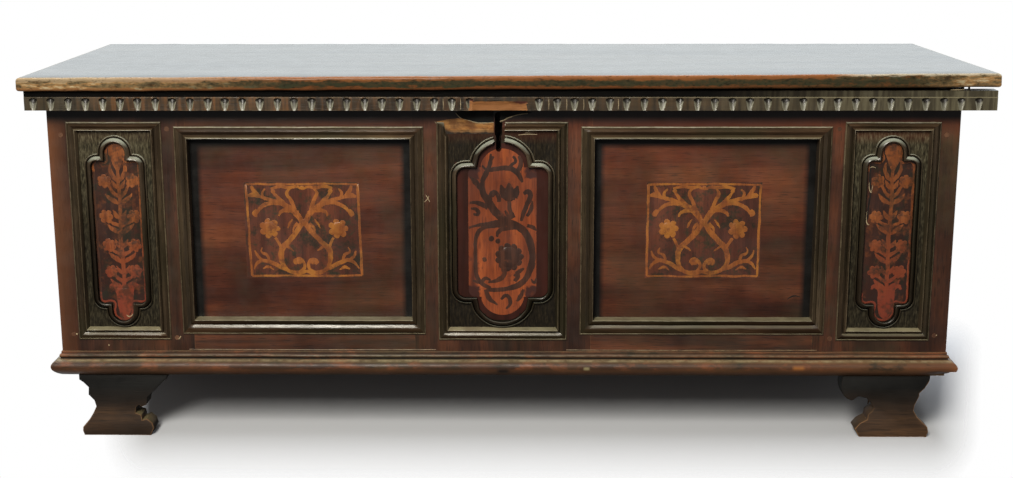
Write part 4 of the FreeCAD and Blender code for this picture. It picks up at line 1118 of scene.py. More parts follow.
material, tree, place, wood, wear, tone = made
shadow_dark_wood = finish_wood(material, tree, wood, wear, tone, (0.7, 0.9), coat=0.0)


front_shift = -9  # millimetres from the lid's middle to the front's


def scar(name, low_edge, high_edge, material, height, seed, rough):
    """A patch of the front between two ragged edges, each a row of points in millimetres."""
    rows = []
    for share in (0.0, 0.0, 0.08, 0.3, 0.5, 0.7, 0.92, 1.0, 1.0):
        row = []
        for (x0, z0), (x1, z1) in zip(low_edge, high_edge):
            x, z = x0 + (x1 - x0) * share, z0 + (z1 - z0) * share
            row.append([(x + front_shift) * MM, face_y, z * MM])
        rows.append(row)
    for row in rows[1:-1]:
        for point in row:
            bumpy = noise.noise(Vector((point[0] * 90 + seed, seed, point[2] * 240)))
            point[1] -= (height + rough * abs(bumpy)) * MM
    bm = bmesh.new()
    sweep(bm, [[Vector(point) for point in row] for row in rows], closed=False)
    return piece(name, bm, material, "carcass", "walnut")


def along(points, count):
    """Evenly spaced points on a line drawn through a few."""
    made = []
    for index in range(count):
        share = index / (count - 1) * (len(points) - 1)
        before = min(int(share), len(points) - 2)
        (x0, z0), (x1, z1) = points[before], points[before + 1]
        part = share - before
        made.append((x0 + (x1 - x0) * part, z0 + (z1 - z0) * part))
    return made


bare_top = [(-116, 586), (-106, 588), (-90, 590.5), (-73, 592), (-60, 588), (-42, 583), (-28, 583)]
bare_top = along(bare_top + [(-15, 584)], 60)
bare_foot = along([(-108, 566), (-94, 564), (-73, 565), (-60, 564), (-42, 565), (-28, 564), (-15, 565)], 60)
scar("bare_strip", bare_foot, bare_top, bare_wood, height=0.3, seed=3.0, rough=2.2)
# Above the bare strip the broken-out hollows are flat near-black sheets: painted shadow under the lid strip.
hollow_foot = along([(-82, 601), (-73, 592), (-60, 588), (-42, 583.5), (-28, 583.5), (-15, 584.5)], 40)
hollow_top = along([(-82, 602), (-73, 606), (-60, 609), (-42, 610), (-28, 610), (-15, 610)], 40)
scar("hollow_shadow_left", hollow_foot, hollow_top, shadow_dark_wood, height=0.2, seed=5.0, rough=0.2)
hollow_foot = along([(-4, 586), (4, 589), (12, 593), (30, 598.5), (45, 600.5), (52, 601.5)], 30)
hollow_top = along([(-4, 610), (4, 610), (12, 610), (30, 609), (45, 605), (52, 602)], 30)
scar("hollow_shadow_right", hollow_foot, hollow_top, shadow_dark_wood, height=0.2, seed=8.0, rough=0.2)


def laid_on(name, lines, flatness, place, material, body, slot):
    """Thin strokes laid on a face, such as splinters, chips and splits."""
    bm = drawn_lines(lines, flatness)
    bmesh.ops.translate(bm, vec=place, verts=bm.verts)
    piece(name, bm, material, body, slot)


on_front = (front_shift * MM, face_y, 0)
left_edge = [(-82, 601), (-73, 592), (-60, 588), (-50, 585), (-42, 583.5), (-28, 583.5), (-15, 584.5)]
right_edge = [(-4, 586), (4, 589), (12, 593), (30, 598.5), (45, 600.5)]
splinter_width = 1.5
splinters = [(left_edge, (0.3, 0.7, 0.9, 0.6)), (right_edge, (0.9, 0.7, 0.4))]
splinters = [(points, [splinter_width * width for width in widths]) for points, widths in splinters]
laid_on("splintered_edge", splinters, 0.8, on_front, splinter_wood, "carcass", "walnut")

# The veneer of the right-hand cartouche has split down its left side and lifted in chips, and
# the front is scratched and chipped here and there.
chips = [
    ([(651, 503), (657, 505), (662, 503)], (0.3, 0.8, 0.3)),
    ([(653, 480), (652, 470), (655, 460), (657, 458)], (0.2, 0.6, 1.1, 0.4)),
    ([(659, 478), (658, 468), (657, 460)], (0.2, 0.4, 0.3)),
    ([(651, 426), (650, 412), (653, 401), (656, 400)], (0.2, 0.8, 1.1, 0.4)),
    ([(-137, 454), (-133, 448), (-130, 441)], (0.3, 0.8, 0.3)),
    ([(-141, 440), (-136, 444), (-131, 452)], (0.3, 0.7, 0.3)),
    ([(38, 571), (46, 572), (56, 571)], (0.4, 1.2, 0.4)),
    ([(40, 566), (50, 567.5), (62, 568)], (0.4, 1.0, 0.4)),
    ([(28, 562), (44, 563.5), (62, 563)], (0.4, 0.9, 0.4)),
    ([(-686, 232), (-682, 228), (-677, 229), (-674, 233)], (0.4, 1.2, 1.0, 0.5)),
    ([(-119, 586), (-115, 581), (-111, 575)], (0.5, 1.0, 0.5)),
    ([(-722, 173.6), (-720, 173.4)], (1.5, 1.5)),
    ([(-780, 195), (-777, 194)], (1.6, 1.3)),
    ([(-597, 190), (-593, 186), (-588, 191)], (0.7, 1.5, 0.7)),
    ([(787, 195), (788.5, 194.5)], (1.6, 1.6)),
]
laid_on("chips", chips, 0.5, on_front, splinter_wood, "carcass", "walnut")
splits = [
    ([(652, 510), (651, 488), (654, 460), (651, 430), (650, 396)], (0.6, 1.6, 1.2, 1.6, 0.6)),
    ([(513, 262), (524, 268), (536, 267)], (0.6, 1.8, 0.6)),
]
split_aside = 1.5
beside_chips = ((front_shift + split_aside) * MM, face_y, 0)
laid_on("splits", splits, 0.2, beside_chips, shadow_dark_wood, "carcass", "walnut")

# Ends, back and floor: the ends are framed like the front but left plain, the back is two wide
# boards nailed on, and two boards make the floor. Inside, the wood was never polished.
for side in ("left", "right"):
    dress("side_stile_front_" + side, walnut_upright)
    dress("side_stile_rear_" + side, walnut_upright)
    dress("side_top_rail_" + side, walnut_deep)
    dress("side_bottom_rail_" + side, walnut_deep)
    dress("side_panel_" + side, walnut_deep)
shades = colour(96, 72, 50), colour(132, 102, 72), colour(156, 126, 92)
made = start_wood("inner_wood", "x", 18.0, shades, colour(120, 96, 70), 0.001)
material, tree, place, wood, wear, tone = made
inner_wood = finish_wood(material, tree, wood, wear, tone, (0.65, 0.85), relief=0.4, coat=0.0)
for node in ("back_board_lower", "back_board_upper", "floor_board_front", "floor_board_rear"):
    dress(node, inner_wood)

# Base moulding: three mitred lengths planed to a bead, a long slope, a nose and a hollow below,
# nailed round the bottom of the chest. Dusty pale and a painted highlight lie on the slope, the nose is
# rubbed, and the underside is painted a lighter brown, painted light where it is in shade.
base_profile = [(-0.6, 163, 0.4), (1.0, 163, 0.5), (1.8, 162.4, 0.6), (2.0, 160.8, 0.4)]
base_profile += [(2.0, 158.8, 0.05), (3.4, 157.8, 0.3), (4.8, 156.6, 0.7), (5.3, 154.8, 0.75)]
base_profile += [(4.9, 153, 0.3), (3.8, 151.4, 0.0), (3.6, 149.8, 0.0), (4.6, 149.0, 0.2)]
base_profile += [(6.4, 148.4, 0.85), (9.6, 147.2, 0.9), (12.4, 145.8, 0.66), (15.4, 143.8, 0.56)]
base_profile += [(17.3, 141.2, 0.54), (18.2, 139.0, 0.5), (18.5, 136.4, 0.5), (17.9, 133.2, 0.5)]
base_profile += [(16.4, 130.0, 0.48), (13.8, 126.6, 0.45), (10.4, 123.4, 0.42), (6.4, 120.6, 0.4)]
base_profile += [(2.6, 118.4, 0.4), (-0.6, 118, 0.0)]
front_steps, side_steps = 150, 50
lifted_from, lifted_below, lift_slope = 0.755, 0.130, 0.10  # the worn underside of the right end
carcass_low_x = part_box("front_stile_left")[0].x
carcass_high_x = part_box("front_stile_right")[1].x
carcass_back_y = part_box("back_board_lower")[1].y
base_shades = colour(38, 25, 17), colour(70, 43, 28), colour(102, 64, 41)
marks = [
    ((0.5285, face_y, 0.1368), 0.007, 0.0002, 0.006, colour(156, 98, 46)),
    ((0.1437, face_y, 0.1351), 0.003, 0.0006, 0.004, colour(150, 138, 100)),
    ((-0.0080, face_y, 0.1297), 0.006, 0.0006, 0.008, colour(26, 20, 16)),
]


def base_wood(name, grain):
    """Stained walnut with worn patches; each mark is a chip or a stain of its own."""
    made = start_wood(name, grain, 24.0, base_shades, colour(136, 96, 62), 0.002)
    material, tree, place, wood, wear, tone = made
    tone = weathered(tree, place, tone, 0.5)
    sideways = axis(tree, place, "X")
    tone = mixed(tree, spread(tree, sideways, 0.2, 0.7, 0.0, 0.35), tone, colour(134, 86, 52))
    patches = add(tree, "Mapping", {"Vector": place, "Scale": (1.0, 1.0, 2.5)}).outputs[0]
    patches = blotches(tree, patches, 17.0, 6.0, 0.7)
    tone = mixed(tree, spread(tree, patches, 0.52, 0.66, 0.0, 0.8), tone, colour(128, 74, 44))
    tone = mixed(tree, spread(tree, patches, 0.46, 0.34, 0.0, 0.85), tone, colour(42, 36, 24))
    # The slope is painted dusty pale with a painted highlight.
    tone = dust_and_highlight(tree, tone, wear, 0.70, 0.98, colour(146, 132, 98), 0.35)
    tone = wax_wear_and_shading(tree, place, tone, colour(166, 152, 118), 0.15)
    # The underside of the nose is painted a lighter brown: painted light where it lies in shade.
    low = spread(tree, axis(tree, place, "Z"), 0.136, 0.128)
    tone = mixed(tree, times(tree, low, 0.6), tone, colour(112, 76, 48))
    corner = times(tree, spread(tree, sideways, 0.800, 0.822), spread(tree, patches, 0.35, 0.55, 0.3, 1.0))
    tone = mixed(tree, corner, tone, colour(150, 92, 52))
    for spot_middle, half_x, half_z, soft, spot_colour in marks:
        tone = mixed(tree, inside(tree, place, spot_middle, half_x, half_z, soft), tone, spot_colour)
    return finish_wood(material, tree, wood, wear, tone, (0.46, 0.64), coat=0.06)


base_front = base_wood("base_front", "x")
base_side = base_wood("base_side", "y")
for side in ("front", "left", "right"):
    rows = []
    for out, z, _ in base_profile:
        out *= MM
        z *= MM
        low_x, high_x, near_y = carcass_low_x - out, carcass_high_x + out, face_y - out
        ends = {
            "front": ((low_x, near_y), (high_x, near_y), front_steps),
            "left": ((low_x, near_y), (low_x, carcass_back_y), side_steps),
            "right": ((high_x, near_y), (high_x, carcass_back_y), side_steps),
        }
        (x0, y0), (x1, y1), count = ends[side]
        row = []
        for index in range(count + 1):
            share = index / count
            point = Vector((x0 + (x1 - x0) * share, y0 + (y1 - y0) * share, z))
            if 0 < index < count:
                point = hand_planed(point, 21.0, amount=0.0009, size=9.0)
            if point.x > lifted_from and z < lifted_below:
                point.z += lift_slope * (point.x - lifted_from)
            row.append(point)
        rows.append(row)
    bm = bmesh.new()
    sweep(bm, rows, False, [rub_and_shade for _, _, rub_and_shade in base_profile])
    material = base_front if side == "front" else base_side
    piece("planed_base_" + side, bm, material, "carcass", "dark_walnut", "base_moulding_" + side)

rail_lines = []
for low_x, high_x in ((-574, -122), (116, 572)):
    rail_lines.append(([(low_x, 165.6), ((low_x + high_x) / 2, 165.2), (high_x, 165.8)], (0.9, 0.9)))
bm = drawn_lines(rail_lines, flatness=0.9)
# A value of 0.8 paints the bead partly pale: wear and painted highlight.
rub_and_shade = bm.verts.layers.float.new("rub_and_shade")
for corner in bm.verts:
    corner[rub_and_shade] = 0.8
bmesh.ops.translate(bm, vec=on_front, verts=bm.verts)
piece("rail_bead", bm, base_front, "carcass", "dark_walnut")

# Feet: four sawn brackets of walnut with a bold double curve. The front left one has lost the tip
# of its wing.
shades = colour(38, 27, 18), colour(66, 47, 32), colour(98, 70, 45)
made = start_wood("foot_walnut", "x", 24.0, shades, colour(132, 100, 66), 0.002)
material, tree, place, wood, wear, tone = made
parts = add(tree, "SeparateXYZ", {0: place}).outputs
tone = mixed(tree, 1.0, tone, spread(tree, parts["X"], -0.8, 0.8, 0.85, 1.35), "MULTIPLY")
# The top of each foot is painted near-black: painted shadow under the base moulding.
tone = mixed(tree, spread(tree, parts["Z"], 0.030, 0.095), tone, colour(15, 14, 12))
# Upward faces are painted dusty pale with a painted highlight, more on the left foot.
foot_dust_and_highlight = spread(tree, parts["X"], 0.1, -0.1, 0.1, 0.7)
tone = dust_and_highlight(tree, tone, wear, 0.30, 0.80, colour(118, 108, 76), foot_dust_and_highlight)
foot_walnut = finish_wood(material, tree, wood, wear, tone, (0.55, 0.8), coat=0.0)
shades = colour(96, 66, 40), colour(132, 94, 60), colour(158, 122, 84)
made = start_wood("foot_arris", "x", 24.0, shades, colour(170, 138, 98), 0.002)
material, tree, place, wood, wear, tone = made
parts = add(tree, "SeparateXYZ", {0: place}).outputs
# Higher up the arris is painted near-black, painted shadow under the base; low down and at the right end it
# stays pale with wear.
low_down, right_end = spread(tree, parts["Z"], 0.070, 0.020), spread(tree, parts["X"], 0.735, 0.745)
rubbed_low = times(tree, greatest(tree, low_down, right_end), spread(tree, parts["Z"], 0.112, 0.106))
tone = mixed(tree, rubbed_low, colour(24, 20, 16), tone)
foot_arris = finish_wood(material, tree, wood, wear, tone, (0.55, 0.8), coat=0.0)
for node in ("foot_rear_left", "foot_rear_right"):
    dress(node, foot_walnut)
dress("foot_blocks", inner_wood)
arris = 0.0012


def sawn_foot(name, outline, node):
    """A bracket sawn from a board, with its arrises taken off."""
    low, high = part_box(node)
    bm = bmesh.new()
    corners = [bm.verts.new((x * MM, low.y, z * MM)) for x, z in outline]
    for pair in zip(corners, corners[1:] + corners[:1]):
        bm.edges.new(pair)
    bmesh.ops.triangle_fill(bm, edges=bm.edges, use_beauty=True)
    bmesh.ops.dissolve_limit(bm, angle_limit=0.01, verts=bm.verts, edges=bm.edges)
    grown = bmesh.ops.extrude_face_region(bm, geom=bm.faces[:])["geom"]
    pushed = [part for part in grown if isinstance(part, bmesh.types.BMVert)]
    bmesh.ops.translate(bm, vec=(0.0, high.y - low.y, 0.0), verts=pushed)
    arrises = [edge for edge in bm.edges if abs(edge.verts[0].co.y - edge.verts[1].co.y) < 1e-6]
    bmesh.ops.bevel(bm, geom=arrises, offset=arris, segments=2, profile=0.5, affect="EDGES", material=1)
    piece(name, bm, foot_walnut, "carcass", "walnut", node).data.materials.append(foot_arris)


broken_outline = [(-785, 0.3), (-787.7, 9), (-787, 16), (-776, 28), (-767, 42), (-760, 56), (-763, 68)]
broken_outline += [(-773, 79), (-772, 93), (-781, 102.6), (-788.5, 108), (-788.5, 117.7), (-625, 117.7)]
broken_outline += [(-629, 108), (-635.5, 102.6), (-649, 89), (-664, 75), (-667.4, 59.5), (-675.8, 55.7)]
broken_outline += [(-682, 59.5), (-686.6, 54.3), (-688, 43.9), (-677.6, 39.5), (-676.5, 29.7)]
broken_outline += [(-668, 32.6), (-658, 24), (-655.5, 14), (-662, 0.3)]
sawn_foot("broken_foot", broken_outline, "foot_front_left")
winged_outline = [(771, 0.3), (774, 10), (772.5, 19.4), (763, 28.4), (752.6, 39), (745.5, 51)]
winged_outline += [(746.6, 61.5), (751, 72), (754.3, 79), (754, 84.5), (764, 95), (771, 108)]
winged_outline += [(772, 117.7), (613, 117.7), (611, 98), (613, 88), (616, 80), (622.6, 73.8)]
winged_outline += [(631, 70.2), (638.5, 74.5), (643, 78.5), (657.4, 75.4), (666, 66.8), (672.7, 56.2)]
winged_outline += [(670.2, 51), (662.8, 44), (661, 33.5), (648, 26.3), (639.3, 15.7), (647.5, 0.3)]
sawn_foot("winged_foot", winged_outline, "foot_front_right")

# Lock: a plate, case, bolt and staple of forged iron behind the front, worked by a key through the
# slot in the stile. Two strap hinges and the nails are of the same iron, dark and pitted.
forged_iron = bpy.data.materials.new("forged_iron")
forged_iron.use_nodes = True
tree = forged_iron.node_tree
tree.nodes.clear()
place = add(tree, "TexCoord").outputs["Object"]
rust = blotches(tree, place, 46.0, 5.0, 0.65)
pits = blotches(tree, place, 320.0, 2.0)
rusting = (0.36, colour(58, 56, 54)), (0.55, colour(74, 66, 58)), (0.70, colour(104, 66, 42))
shade = ramp(tree, rust, *rusting)
bump = add(tree, "Bump", {"Height": pits, "Strength": 0.5, "Distance": 0.0008})
metal = add(
    tree,
    "BsdfPrincipled",
    {
        "Base Color": shade,
        "Metallic": spread(tree, rust, 0.5, 0.7, 0.9, 0.1),
        "Roughness": spread(tree, pits, 0.35, 0.65, 0.42, 0.7),
        "Normal": bump.outputs[0],
    },
)
tree.links.new(metal.outputs[0], add(tree, "OutputMaterial").inputs["Surface"])
for node in ("lock_plate", "lock_case", "lock_bolt", "lock_spring", "lock_staple"):
    dress(node, forged_iron)
for node in ("hinge_leaves", "hinge_pins", "hinge_straps", "lid_nails"):
    dress(node, forged_iron)

# Lid: two wide walnut boards joined along their length, with rounded and battered edges. The
# front corner on the right has risen a little as the boards dried.
shades = colour(44, 40, 28), colour(64, 56, 38), colour(90, 74, 48)
made = start_wood("lid_walnut", "x", 16.0, shades, colour(176, 134, 88), 0.004)
material, tree, place, wood, wear, tone = made
spots = add(tree, "Mapping", {"Vector": place, "Scale": (0.45, 1.0, 2.0)}).outputs[0]
uneven = blotches(tree, spots, 60.0, 6.0, 0.7)
level = add(tree, "Attribute", attribute_name="edge_height").outputs["Fac"]
level = sums(tree, "ADD", level, spread(tree, uneven, 0.3, 0.7, -0.16, 0.16))
sideways = axis(tree, place, "X")
battered = greatest(tree, spread(tree, sideways, -0.38, -0.72), spread(tree, sideways, 0.70, 0.80))
mottle = [(0.36, colour(78, 52, 32)), (0.46, colour(120, 106, 78))]
mottle += [(0.55, colour(172, 128, 80)), (0.63, colour(208, 190, 152))]
mottle = ramp(tree, uneven, *mottle)
flecks = add(tree, "Mapping", {"Vector": place, "Scale": (0.7, 1.0, 1.4)}).outputs[0]
flecks = blotches(tree, flecks, 170.0, 5.0, 0.75)
fleck_tone = mixed(tree, battered, colour(112, 68, 38), colour(196, 158, 108))
tone = mixed(tree, spread(tree, flecks, 0.50, 0.62, 0.0, 0.7), tone, fleck_tone)
tone = mixed(tree, spread(tree, flecks, 0.47, 0.38, 0.0, 0.8), tone, colour(34, 32, 24))
tone = mixed(tree, spread(tree, uneven, 0.52, 0.60, 0.0, 0.5), tone, colour(58, 66, 46))
tone = mixed(tree, times(tree, battered, 0.8), tone, mottle)
foot_tan = mixed(tree, battered, colour(116, 70, 40), colour(146, 102, 64))
banded = times(tree, spread(tree, level, 0.24, 0.34), spread(tree, level, 0.66, 0.54))
banded = times(tree, banded, spread(tree, battered, 0.0, 1.0, 0.65, 0.0))
tone = mixed(tree, banded, tone, colour(52, 54, 40))
low_rub = times(tree, spread(tree, level, 0.28, 0.16), spread(tree, sideways, 0.25, 0.60, 1.0, 0.15))
tone = mixed(tree, low_rub, tone, foot_tan)
crest_tan = mixed(tree, battered, colour(132, 82, 46), colour(150, 130, 102))
crest_tan = mixed(tree, spread(tree, sideways, 0.56, 0.62), crest_tan, colour(168, 156, 134))
crest_low = spread(tree, sideways, 0.56, 0.62, 0.64, 0.82)
crest = sums(tree, "MULTIPLY", sums(tree, "SUBTRACT", level, crest_low), 9.0, clamp=True)
tone = mixed(tree, times(tree, crest, 0.9), tone, crest_tan)
tone = mixed(tree, spread(tree, flecks, 0.44, 0.34, 0.0, 0.7), tone, colour(40, 32, 22))
facing = axis(tree, add(tree, "TexCoord").outputs["Normal"], "Z")
upward = spread(tree, facing, 0.965, 0.998)
# The top is painted grey: partly a dusty film and partly a painted reflection of the white background.
top_film_and_sheen = ramp(tree, wood.outputs["Rings"], (0.0, colour(46, 44, 42)), (1.0, colour(84, 80, 74)))
tone = mixed(tree, upward, tone, top_film_and_sheen)
unpolished = ramp(tree, wood.outputs["Rings"], (0.0, colour(78, 56, 38)), (1.0, colour(136, 104, 72)))
tone = mixed(tree, spread(tree, facing, -0.85, -0.97), tone, unpolished)
shine = spread(tree, upward, 0.0, 1.0, 0.12, 1.0)
lid_walnut = finish_wood(material, tree, wood, wear, tone, (0.24, 0.32), 0.04, 1.0, shine)
lid_low, lid_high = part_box("lid_plank_front")
hinge_y = 0.2868
corner_lift = 0.0067


def risen(point):
    """How far the warped lid stands above flat at a place."""
    along_lid = max(0.0, (point.x - lid_low.x) / (lid_high.x - lid_low.x))
    forward = max(0.0, (hinge_y - point.y) / (hinge_y - lid_low.y))
    return corner_lift * along_lid**1.3 * forward


def cut_across(bm, place, direction):
    """A cut that leaves the board whole but lets it bend there."""
    whole = bm.verts[:] + bm.edges[:] + bm.faces[:]
    bmesh.ops.bisect_plane(bm, geom=whole, plane_co=place, plane_no=direction)


slices_across, slices_along = 85, 6
edge_round = 0.0052
battered_reach = 0.012
dent, dent_size = 0.0011, 26.0
nick, nick_size = 0.0005, 90.0
waviness, wave_size = 0.0004, 5.0
for node in ("lid_plank_front", "lid_plank_rear"):
    low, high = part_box(node)
    bm = bmesh.new()
    bmesh.ops.create_cube(bm, size=1.0)
    bmesh.ops.scale(bm, vec=high - low, verts=bm.verts)
    bmesh.ops.translate(bm, vec=(low + high) / 2, verts=bm.verts)
    outer = low.y if node == "lid_plank_front" else high.y
    worn = []
    for edge in bm.edges:
        centre = (edge.verts[0].co + edge.verts[1].co) / 2
        if abs(centre.y - outer) < 1e-6 or abs(abs(centre.x) - high.x) < 1e-6:
            if abs(edge.verts[0].co.z - edge.verts[1].co.z) < 1e-6:
                worn.append(edge)
    bmesh.ops.bevel(bm, geom=worn, offset=edge_round, segments=4, profile=0.5, affect="EDGES", material=-1)
    for index in range(1, slices_across):
        cut_across(bm, (low.x + (high.x - low.x) * index / slices_across, 0, 0), (1, 0, 0))
    for index in range(1, slices_along):
        cut_across(bm, (0, low.y + (high.y - low.y) * index / slices_along, 0), (0, 1, 0))
    edge_height = bm.verts.layers.float.new("edge_height")
    for corner in bm.verts:
        where = corner.co.copy()
        corner[edge_height] = (where.z - low.z) / (high.z - low.z)
        near_edge = 1.0 - min(1.0, abs(where.y - outer) / battered_reach)
        hurt = noise.noise_vector(where * dent_size) * dent + noise.noise_vector(where * nick_size) * nick
        corner.co += hurt * near_edge
        corner.co.z += risen(where) + waviness * noise.noise(where * wave_size)
    piece("board_" + node, bm, lid_walnut, "lid", "lid_walnut", node)

# The strip under the front of the lid is carved with a row of tapering gouge cuts below a sunk
# fillet. Hands have worn a bare hollow in the middle of it.
shades = colour(40, 32, 23), colour(70, 54, 38), colour(98, 76, 52)
made = start_wood("strip_walnut", "x", 26.0, shades, colour(150, 132, 104), 0.0012)
material, tree, place, wood, wear, tone = made
strip_low, strip_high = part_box("lid_strip_front")
sideways, level = axis(tree, place, "X"), axis(tree, place, "Z")
upright = add(tree, "Mapping", {"Vector": place, "Scale": (1.0, 1.0, 0.10)}).outputs[0]
upright = blotches(tree, upright, 130.0, 4.0)
streaked = spread(tree, sideways, 0.0, -0.5, 0.35, 0.9)
streaked = times(tree, streaked, spread(tree, upright, 0.50, 0.66))
streaked = times(tree, streaked, spread(tree, sideways, -0.78, -0.70, 0.25, 0.7))
tone = mixed(tree, streaked, tone, colour(122, 82, 48))
tone = mixed(tree, spread(tree, sideways, -0.66, -0.78, 0.0, 0.6), tone, colour(66, 60, 44))
tone = mixed(tree, spread(tree, sideways, -0.05, 0.10, 0.0, 0.5), tone, colour(58, 50, 36))
tone = mixed(tree, spread(tree, upright, 0.46, 0.36, 0.0, 0.6), tone, colour(30, 25, 19))
tone = mixed(tree, spread(tree, sideways, 0.30, 0.70, 0.0, 0.75), tone, colour(60, 55, 40))
weather = times(tree, spread(tree, sideways, 0.25, 0.60), spread(tree, upright, 0.46, 0.62, 0.1, 0.7))
tone = mixed(tree, weather, tone, colour(108, 102, 80))
# Painted highlight: a pale line along the fillet's ledge, stronger right of the middle.
fillet_highlight = times(tree, spread(tree, level, 0.6328, 0.6333), spread(tree, level, 0.6346, 0.6342))
fillet_highlight = times(tree, fillet_highlight, spread(tree, sideways, 0.10, 0.45, 0.0, 0.7))
tone = mixed(tree, fillet_highlight, tone, colour(140, 132, 104))
# Painted shadow of the lid's overhang: the fillet is painted near-black and less glossy, fading out towards
# the right, where the lid has risen.
lid_shadow_band = spread(tree, level, 0.6343, 0.6350)
lid_shadow_band = times(tree, lid_shadow_band, spread(tree, sideways, 0.35, 0.80, 1.0, 0.0))
tone = mixed(tree, lid_shadow_band, tone, colour(14, 13, 12))
shine = spread(tree, lid_shadow_band, 0.0, 1.0, 1.0, 0.1)
strip_walnut = finish_wood(material, tree, wood, wear, tone, (0.30, 0.5), coat=0.35, shine_share=shine)
shades = colour(100, 96, 78), colour(138, 136, 118), colour(180, 180, 166)
made = start_wood("gouge_worn_and_shaded", "z", 60.0, shades, colour(206, 204, 192), 0.0008)
material, tree, place, wood, wear, tone = made
# Where the cut's value is low, near its top, it is painted dark: painted shadow under the fillet.
rub_and_shade = add(tree, "Attribute", attribute_name="rub_and_shade").outputs["Fac"]
tone = mixed(tree, spread(tree, rub_and_shade, 0.75, 0.35), tone, colour(30, 25, 19))
gouge_worn_and_shaded = finish_wood(material, tree, wood, wear, tone, (0.34, 0.5), coat=0.3)
gouge_pitch = 0.0304
gouge_first = strip_low.x + 0.0161
worn_from, worn_to = -0.066, 0.0365
worn_cuts = 44
hollow_height, hollow_dip, hollow_ragged = 0.629, 0.004, 0.0012
hollow_depth, hollow_side = 0.0026, 0.012
gouge_foot, gouge_rise, foot_share = 0.6110, 0.0200, 0.44
strip_rows = [(0.6335, 1.0, 0.0), (0.6325, 0.45, 0.0008), (0.6314, 0.82, 0.0042), (0.6300, 1.0, 0.0054)]
strip_rows += [(0.6270, 0.94, 0.0046), (0.6230, 0.82, 0.0036), (0.6190, 0.70, 0.0026)]
strip_rows += [(0.6150, 0.58, 0.0015), (0.6118, 0.48, 0.0006), (gouge_foot, foot_share, 0.0002)]
gouge_count, gouge_half = 55, 0.0073
gouges = []
for index in range(gouge_count):
    x = gouge_first + index * gouge_pitch
    if worn_from + 0.004 < x < worn_to + 0.006:
        continue
    shift = noise.noise_vector(Vector((index * 7.3, 2.0, 0.5)))
    gouges.append((x + 0.0012 * shift.x, gouge_half * (1 + 0.12 * shift.y), 1 + 0.25 * shift.z, index * 1.7))


def strip_row(z, narrowing, deep, inset=0.0):
    """One line along the strip at a height, dipping into each gouge cut."""
    row = [Vector((strip_low.x, strip_low.y + inset, z))]
    for x, half, strength, seed in gouges:
        x += 0.0005 * noise.noise(Vector((seed, z * 300, 1.0)))
        for share in (-1.25, -1.0, -0.85, -0.5, 0.0, 0.5, 0.85, 1.0, 1.25):
            dip = deep * strength * math.sqrt(max(0.0, 1 - share**2))
            row.append(Vector((x + half * narrowing * share, strip_low.y + inset + dip, z)))
    row.append(Vector((strip_high.x, strip_low.y + inset, z)))
    made = []
    for here, there in zip(row, row[1:]):
        made.append(here)
        if there.x - here.x > 2 * gouge_pitch:
            for step in range(1, worn_cuts):
                made.append(here.lerp(there, step / worn_cuts))
    made.append(row[-1])
    for point in made:
        if worn_from < point.x < worn_to:
            inward = min(1.0, min(point.x - worn_from, worn_to - point.x) / hollow_side)
            ragged = hollow_ragged * noise.noise(Vector((point.x * 120, 0, 3)))
            hollow_top = hollow_height - hollow_dip * inward + ragged
            if z < hollow_top:
                bumpy = 1.0 + 0.35 * noise.noise(Vector((point.x * 70, 4.0, z * 160)))
                point.y += hollow_depth * inward * bumpy * min(1.0, (hollow_top - z) / 0.003 + 0.25)
        point.y = max(strip_low.y, point.y)
    return made


rows = [strip_row(*line) for line in strip_rows]
fillet_in = 0.0008
closing = [(gouge_foot, strip_high.y - strip_low.y), (strip_high.z, strip_high.y - strip_low.y)]
closing += [(strip_high.z, fillet_in), (0.6343, fillet_in), (0.6341, 0.0001)]
for z, inset in closing:
    rows.append(strip_row(z, foot_share if z == gouge_foot else 1.0, 0.0, inset))
bm = bmesh.new()
sweep(bm, rows, closed=False)
rub_and_shade = bm.verts.layers.float["rub_and_shade"]
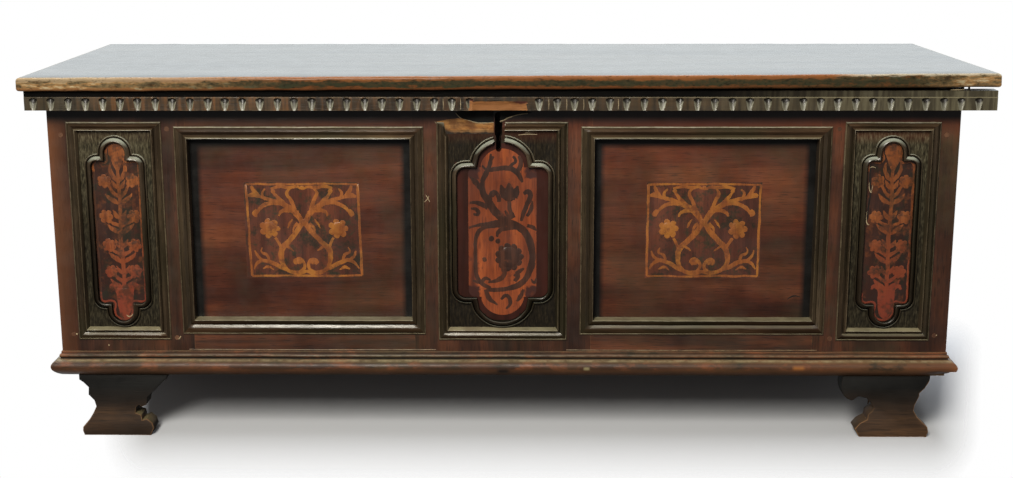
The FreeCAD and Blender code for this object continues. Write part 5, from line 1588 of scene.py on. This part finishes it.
# Each cut gets pale flanks, and towards its top the value falls to 0, which paints its dark crescent:
# painted shadow.
for corner in bm.verts:
    nearest = min(gouges, key=lambda gouge: abs(gouge[0] - corner.co.x))
    sideway = (corner.co.x - nearest[0]) / nearest[1]
    height = (corner.co.z - gouge_foot) / gouge_rise
    ratio = abs(sideway) / (foot_share + (1 - foot_share) * min(1.0, height))
    flank = 0.95 if 0.7 < ratio < 1.1 else 0.66 - 0.30 * height
    corner[rub_and_shade] = flank * max(0.0, min(1.0, (0.88 - height) / 0.14)) if ratio < 1.1 else 0.0
bmesh.ops.triangulate(bm, faces=[surface for surface in bm.faces if len(surface.verts) > 4])
strip = piece("carved_strip", bm, strip_walnut, "lid", "dark_walnut", "lid_strip_front", smooth_below=30.0)
strip.data.materials.append(gouge_worn_and_shaded)
strip.data.materials.append(bare_wood)
cut_top, cut_foot = 0.6306, 0.612
cut_from, cut_to = strip_low.y + 0.0003, strip_low.y + 0.009
for surface in strip.data.polygons:
    centre = surface.center
    if centre.z < cut_top and cut_from < centre.y < cut_to:
        if worn_from < centre.x < worn_to:
            surface.material_index = 2
        elif abs(surface.normal.z) < 0.9 or centre.z > cut_foot:
            surface.material_index = 1
splinter = [([(766, 646.6), (778, 647.0), (790, 647.4)], (0.5, 1.1, 0.5))]
laid_on("pale_splinter", splinter, 0.6, (0, strip_low.y + 0.001, 0), splinter_wood, "lid", "lid_walnut")
bm = bmesh.new()
nail_head, nail_point, nail_length = 0.0022, 0.0018, 0.010
nail_place = (0.7985, strip_low.y + 0.004, 0.6470)
nail = {"radius1": nail_head, "radius2": nail_point, "depth": nail_length}
bmesh.ops.create_cone(bm, cap_ends=True, segments=12, **nail)
bmesh.ops.translate(bm, vec=nail_place, verts=bm.verts)
piece("strip_nail", bm, forged_iron, "lid", "iron")
scored = []
for x in (-111.0, -80.7, 72.4, 103.5, 133.1, 193.0):
    scored.append(([(x, 612.5), (x + 0.4, 622), (x, 631.5)], (0.25, 0.5, 0.25)))
laid_on("strip_score_lines", scored, 0.5, (0, strip_low.y, 0), splinter_wood, "lid", "dark_walnut")
cleat_walnut = frame_walnut("cleat_walnut", "y")
dress("lid_strip_left", cleat_walnut)
dress("lid_strip_right", cleat_walnut)
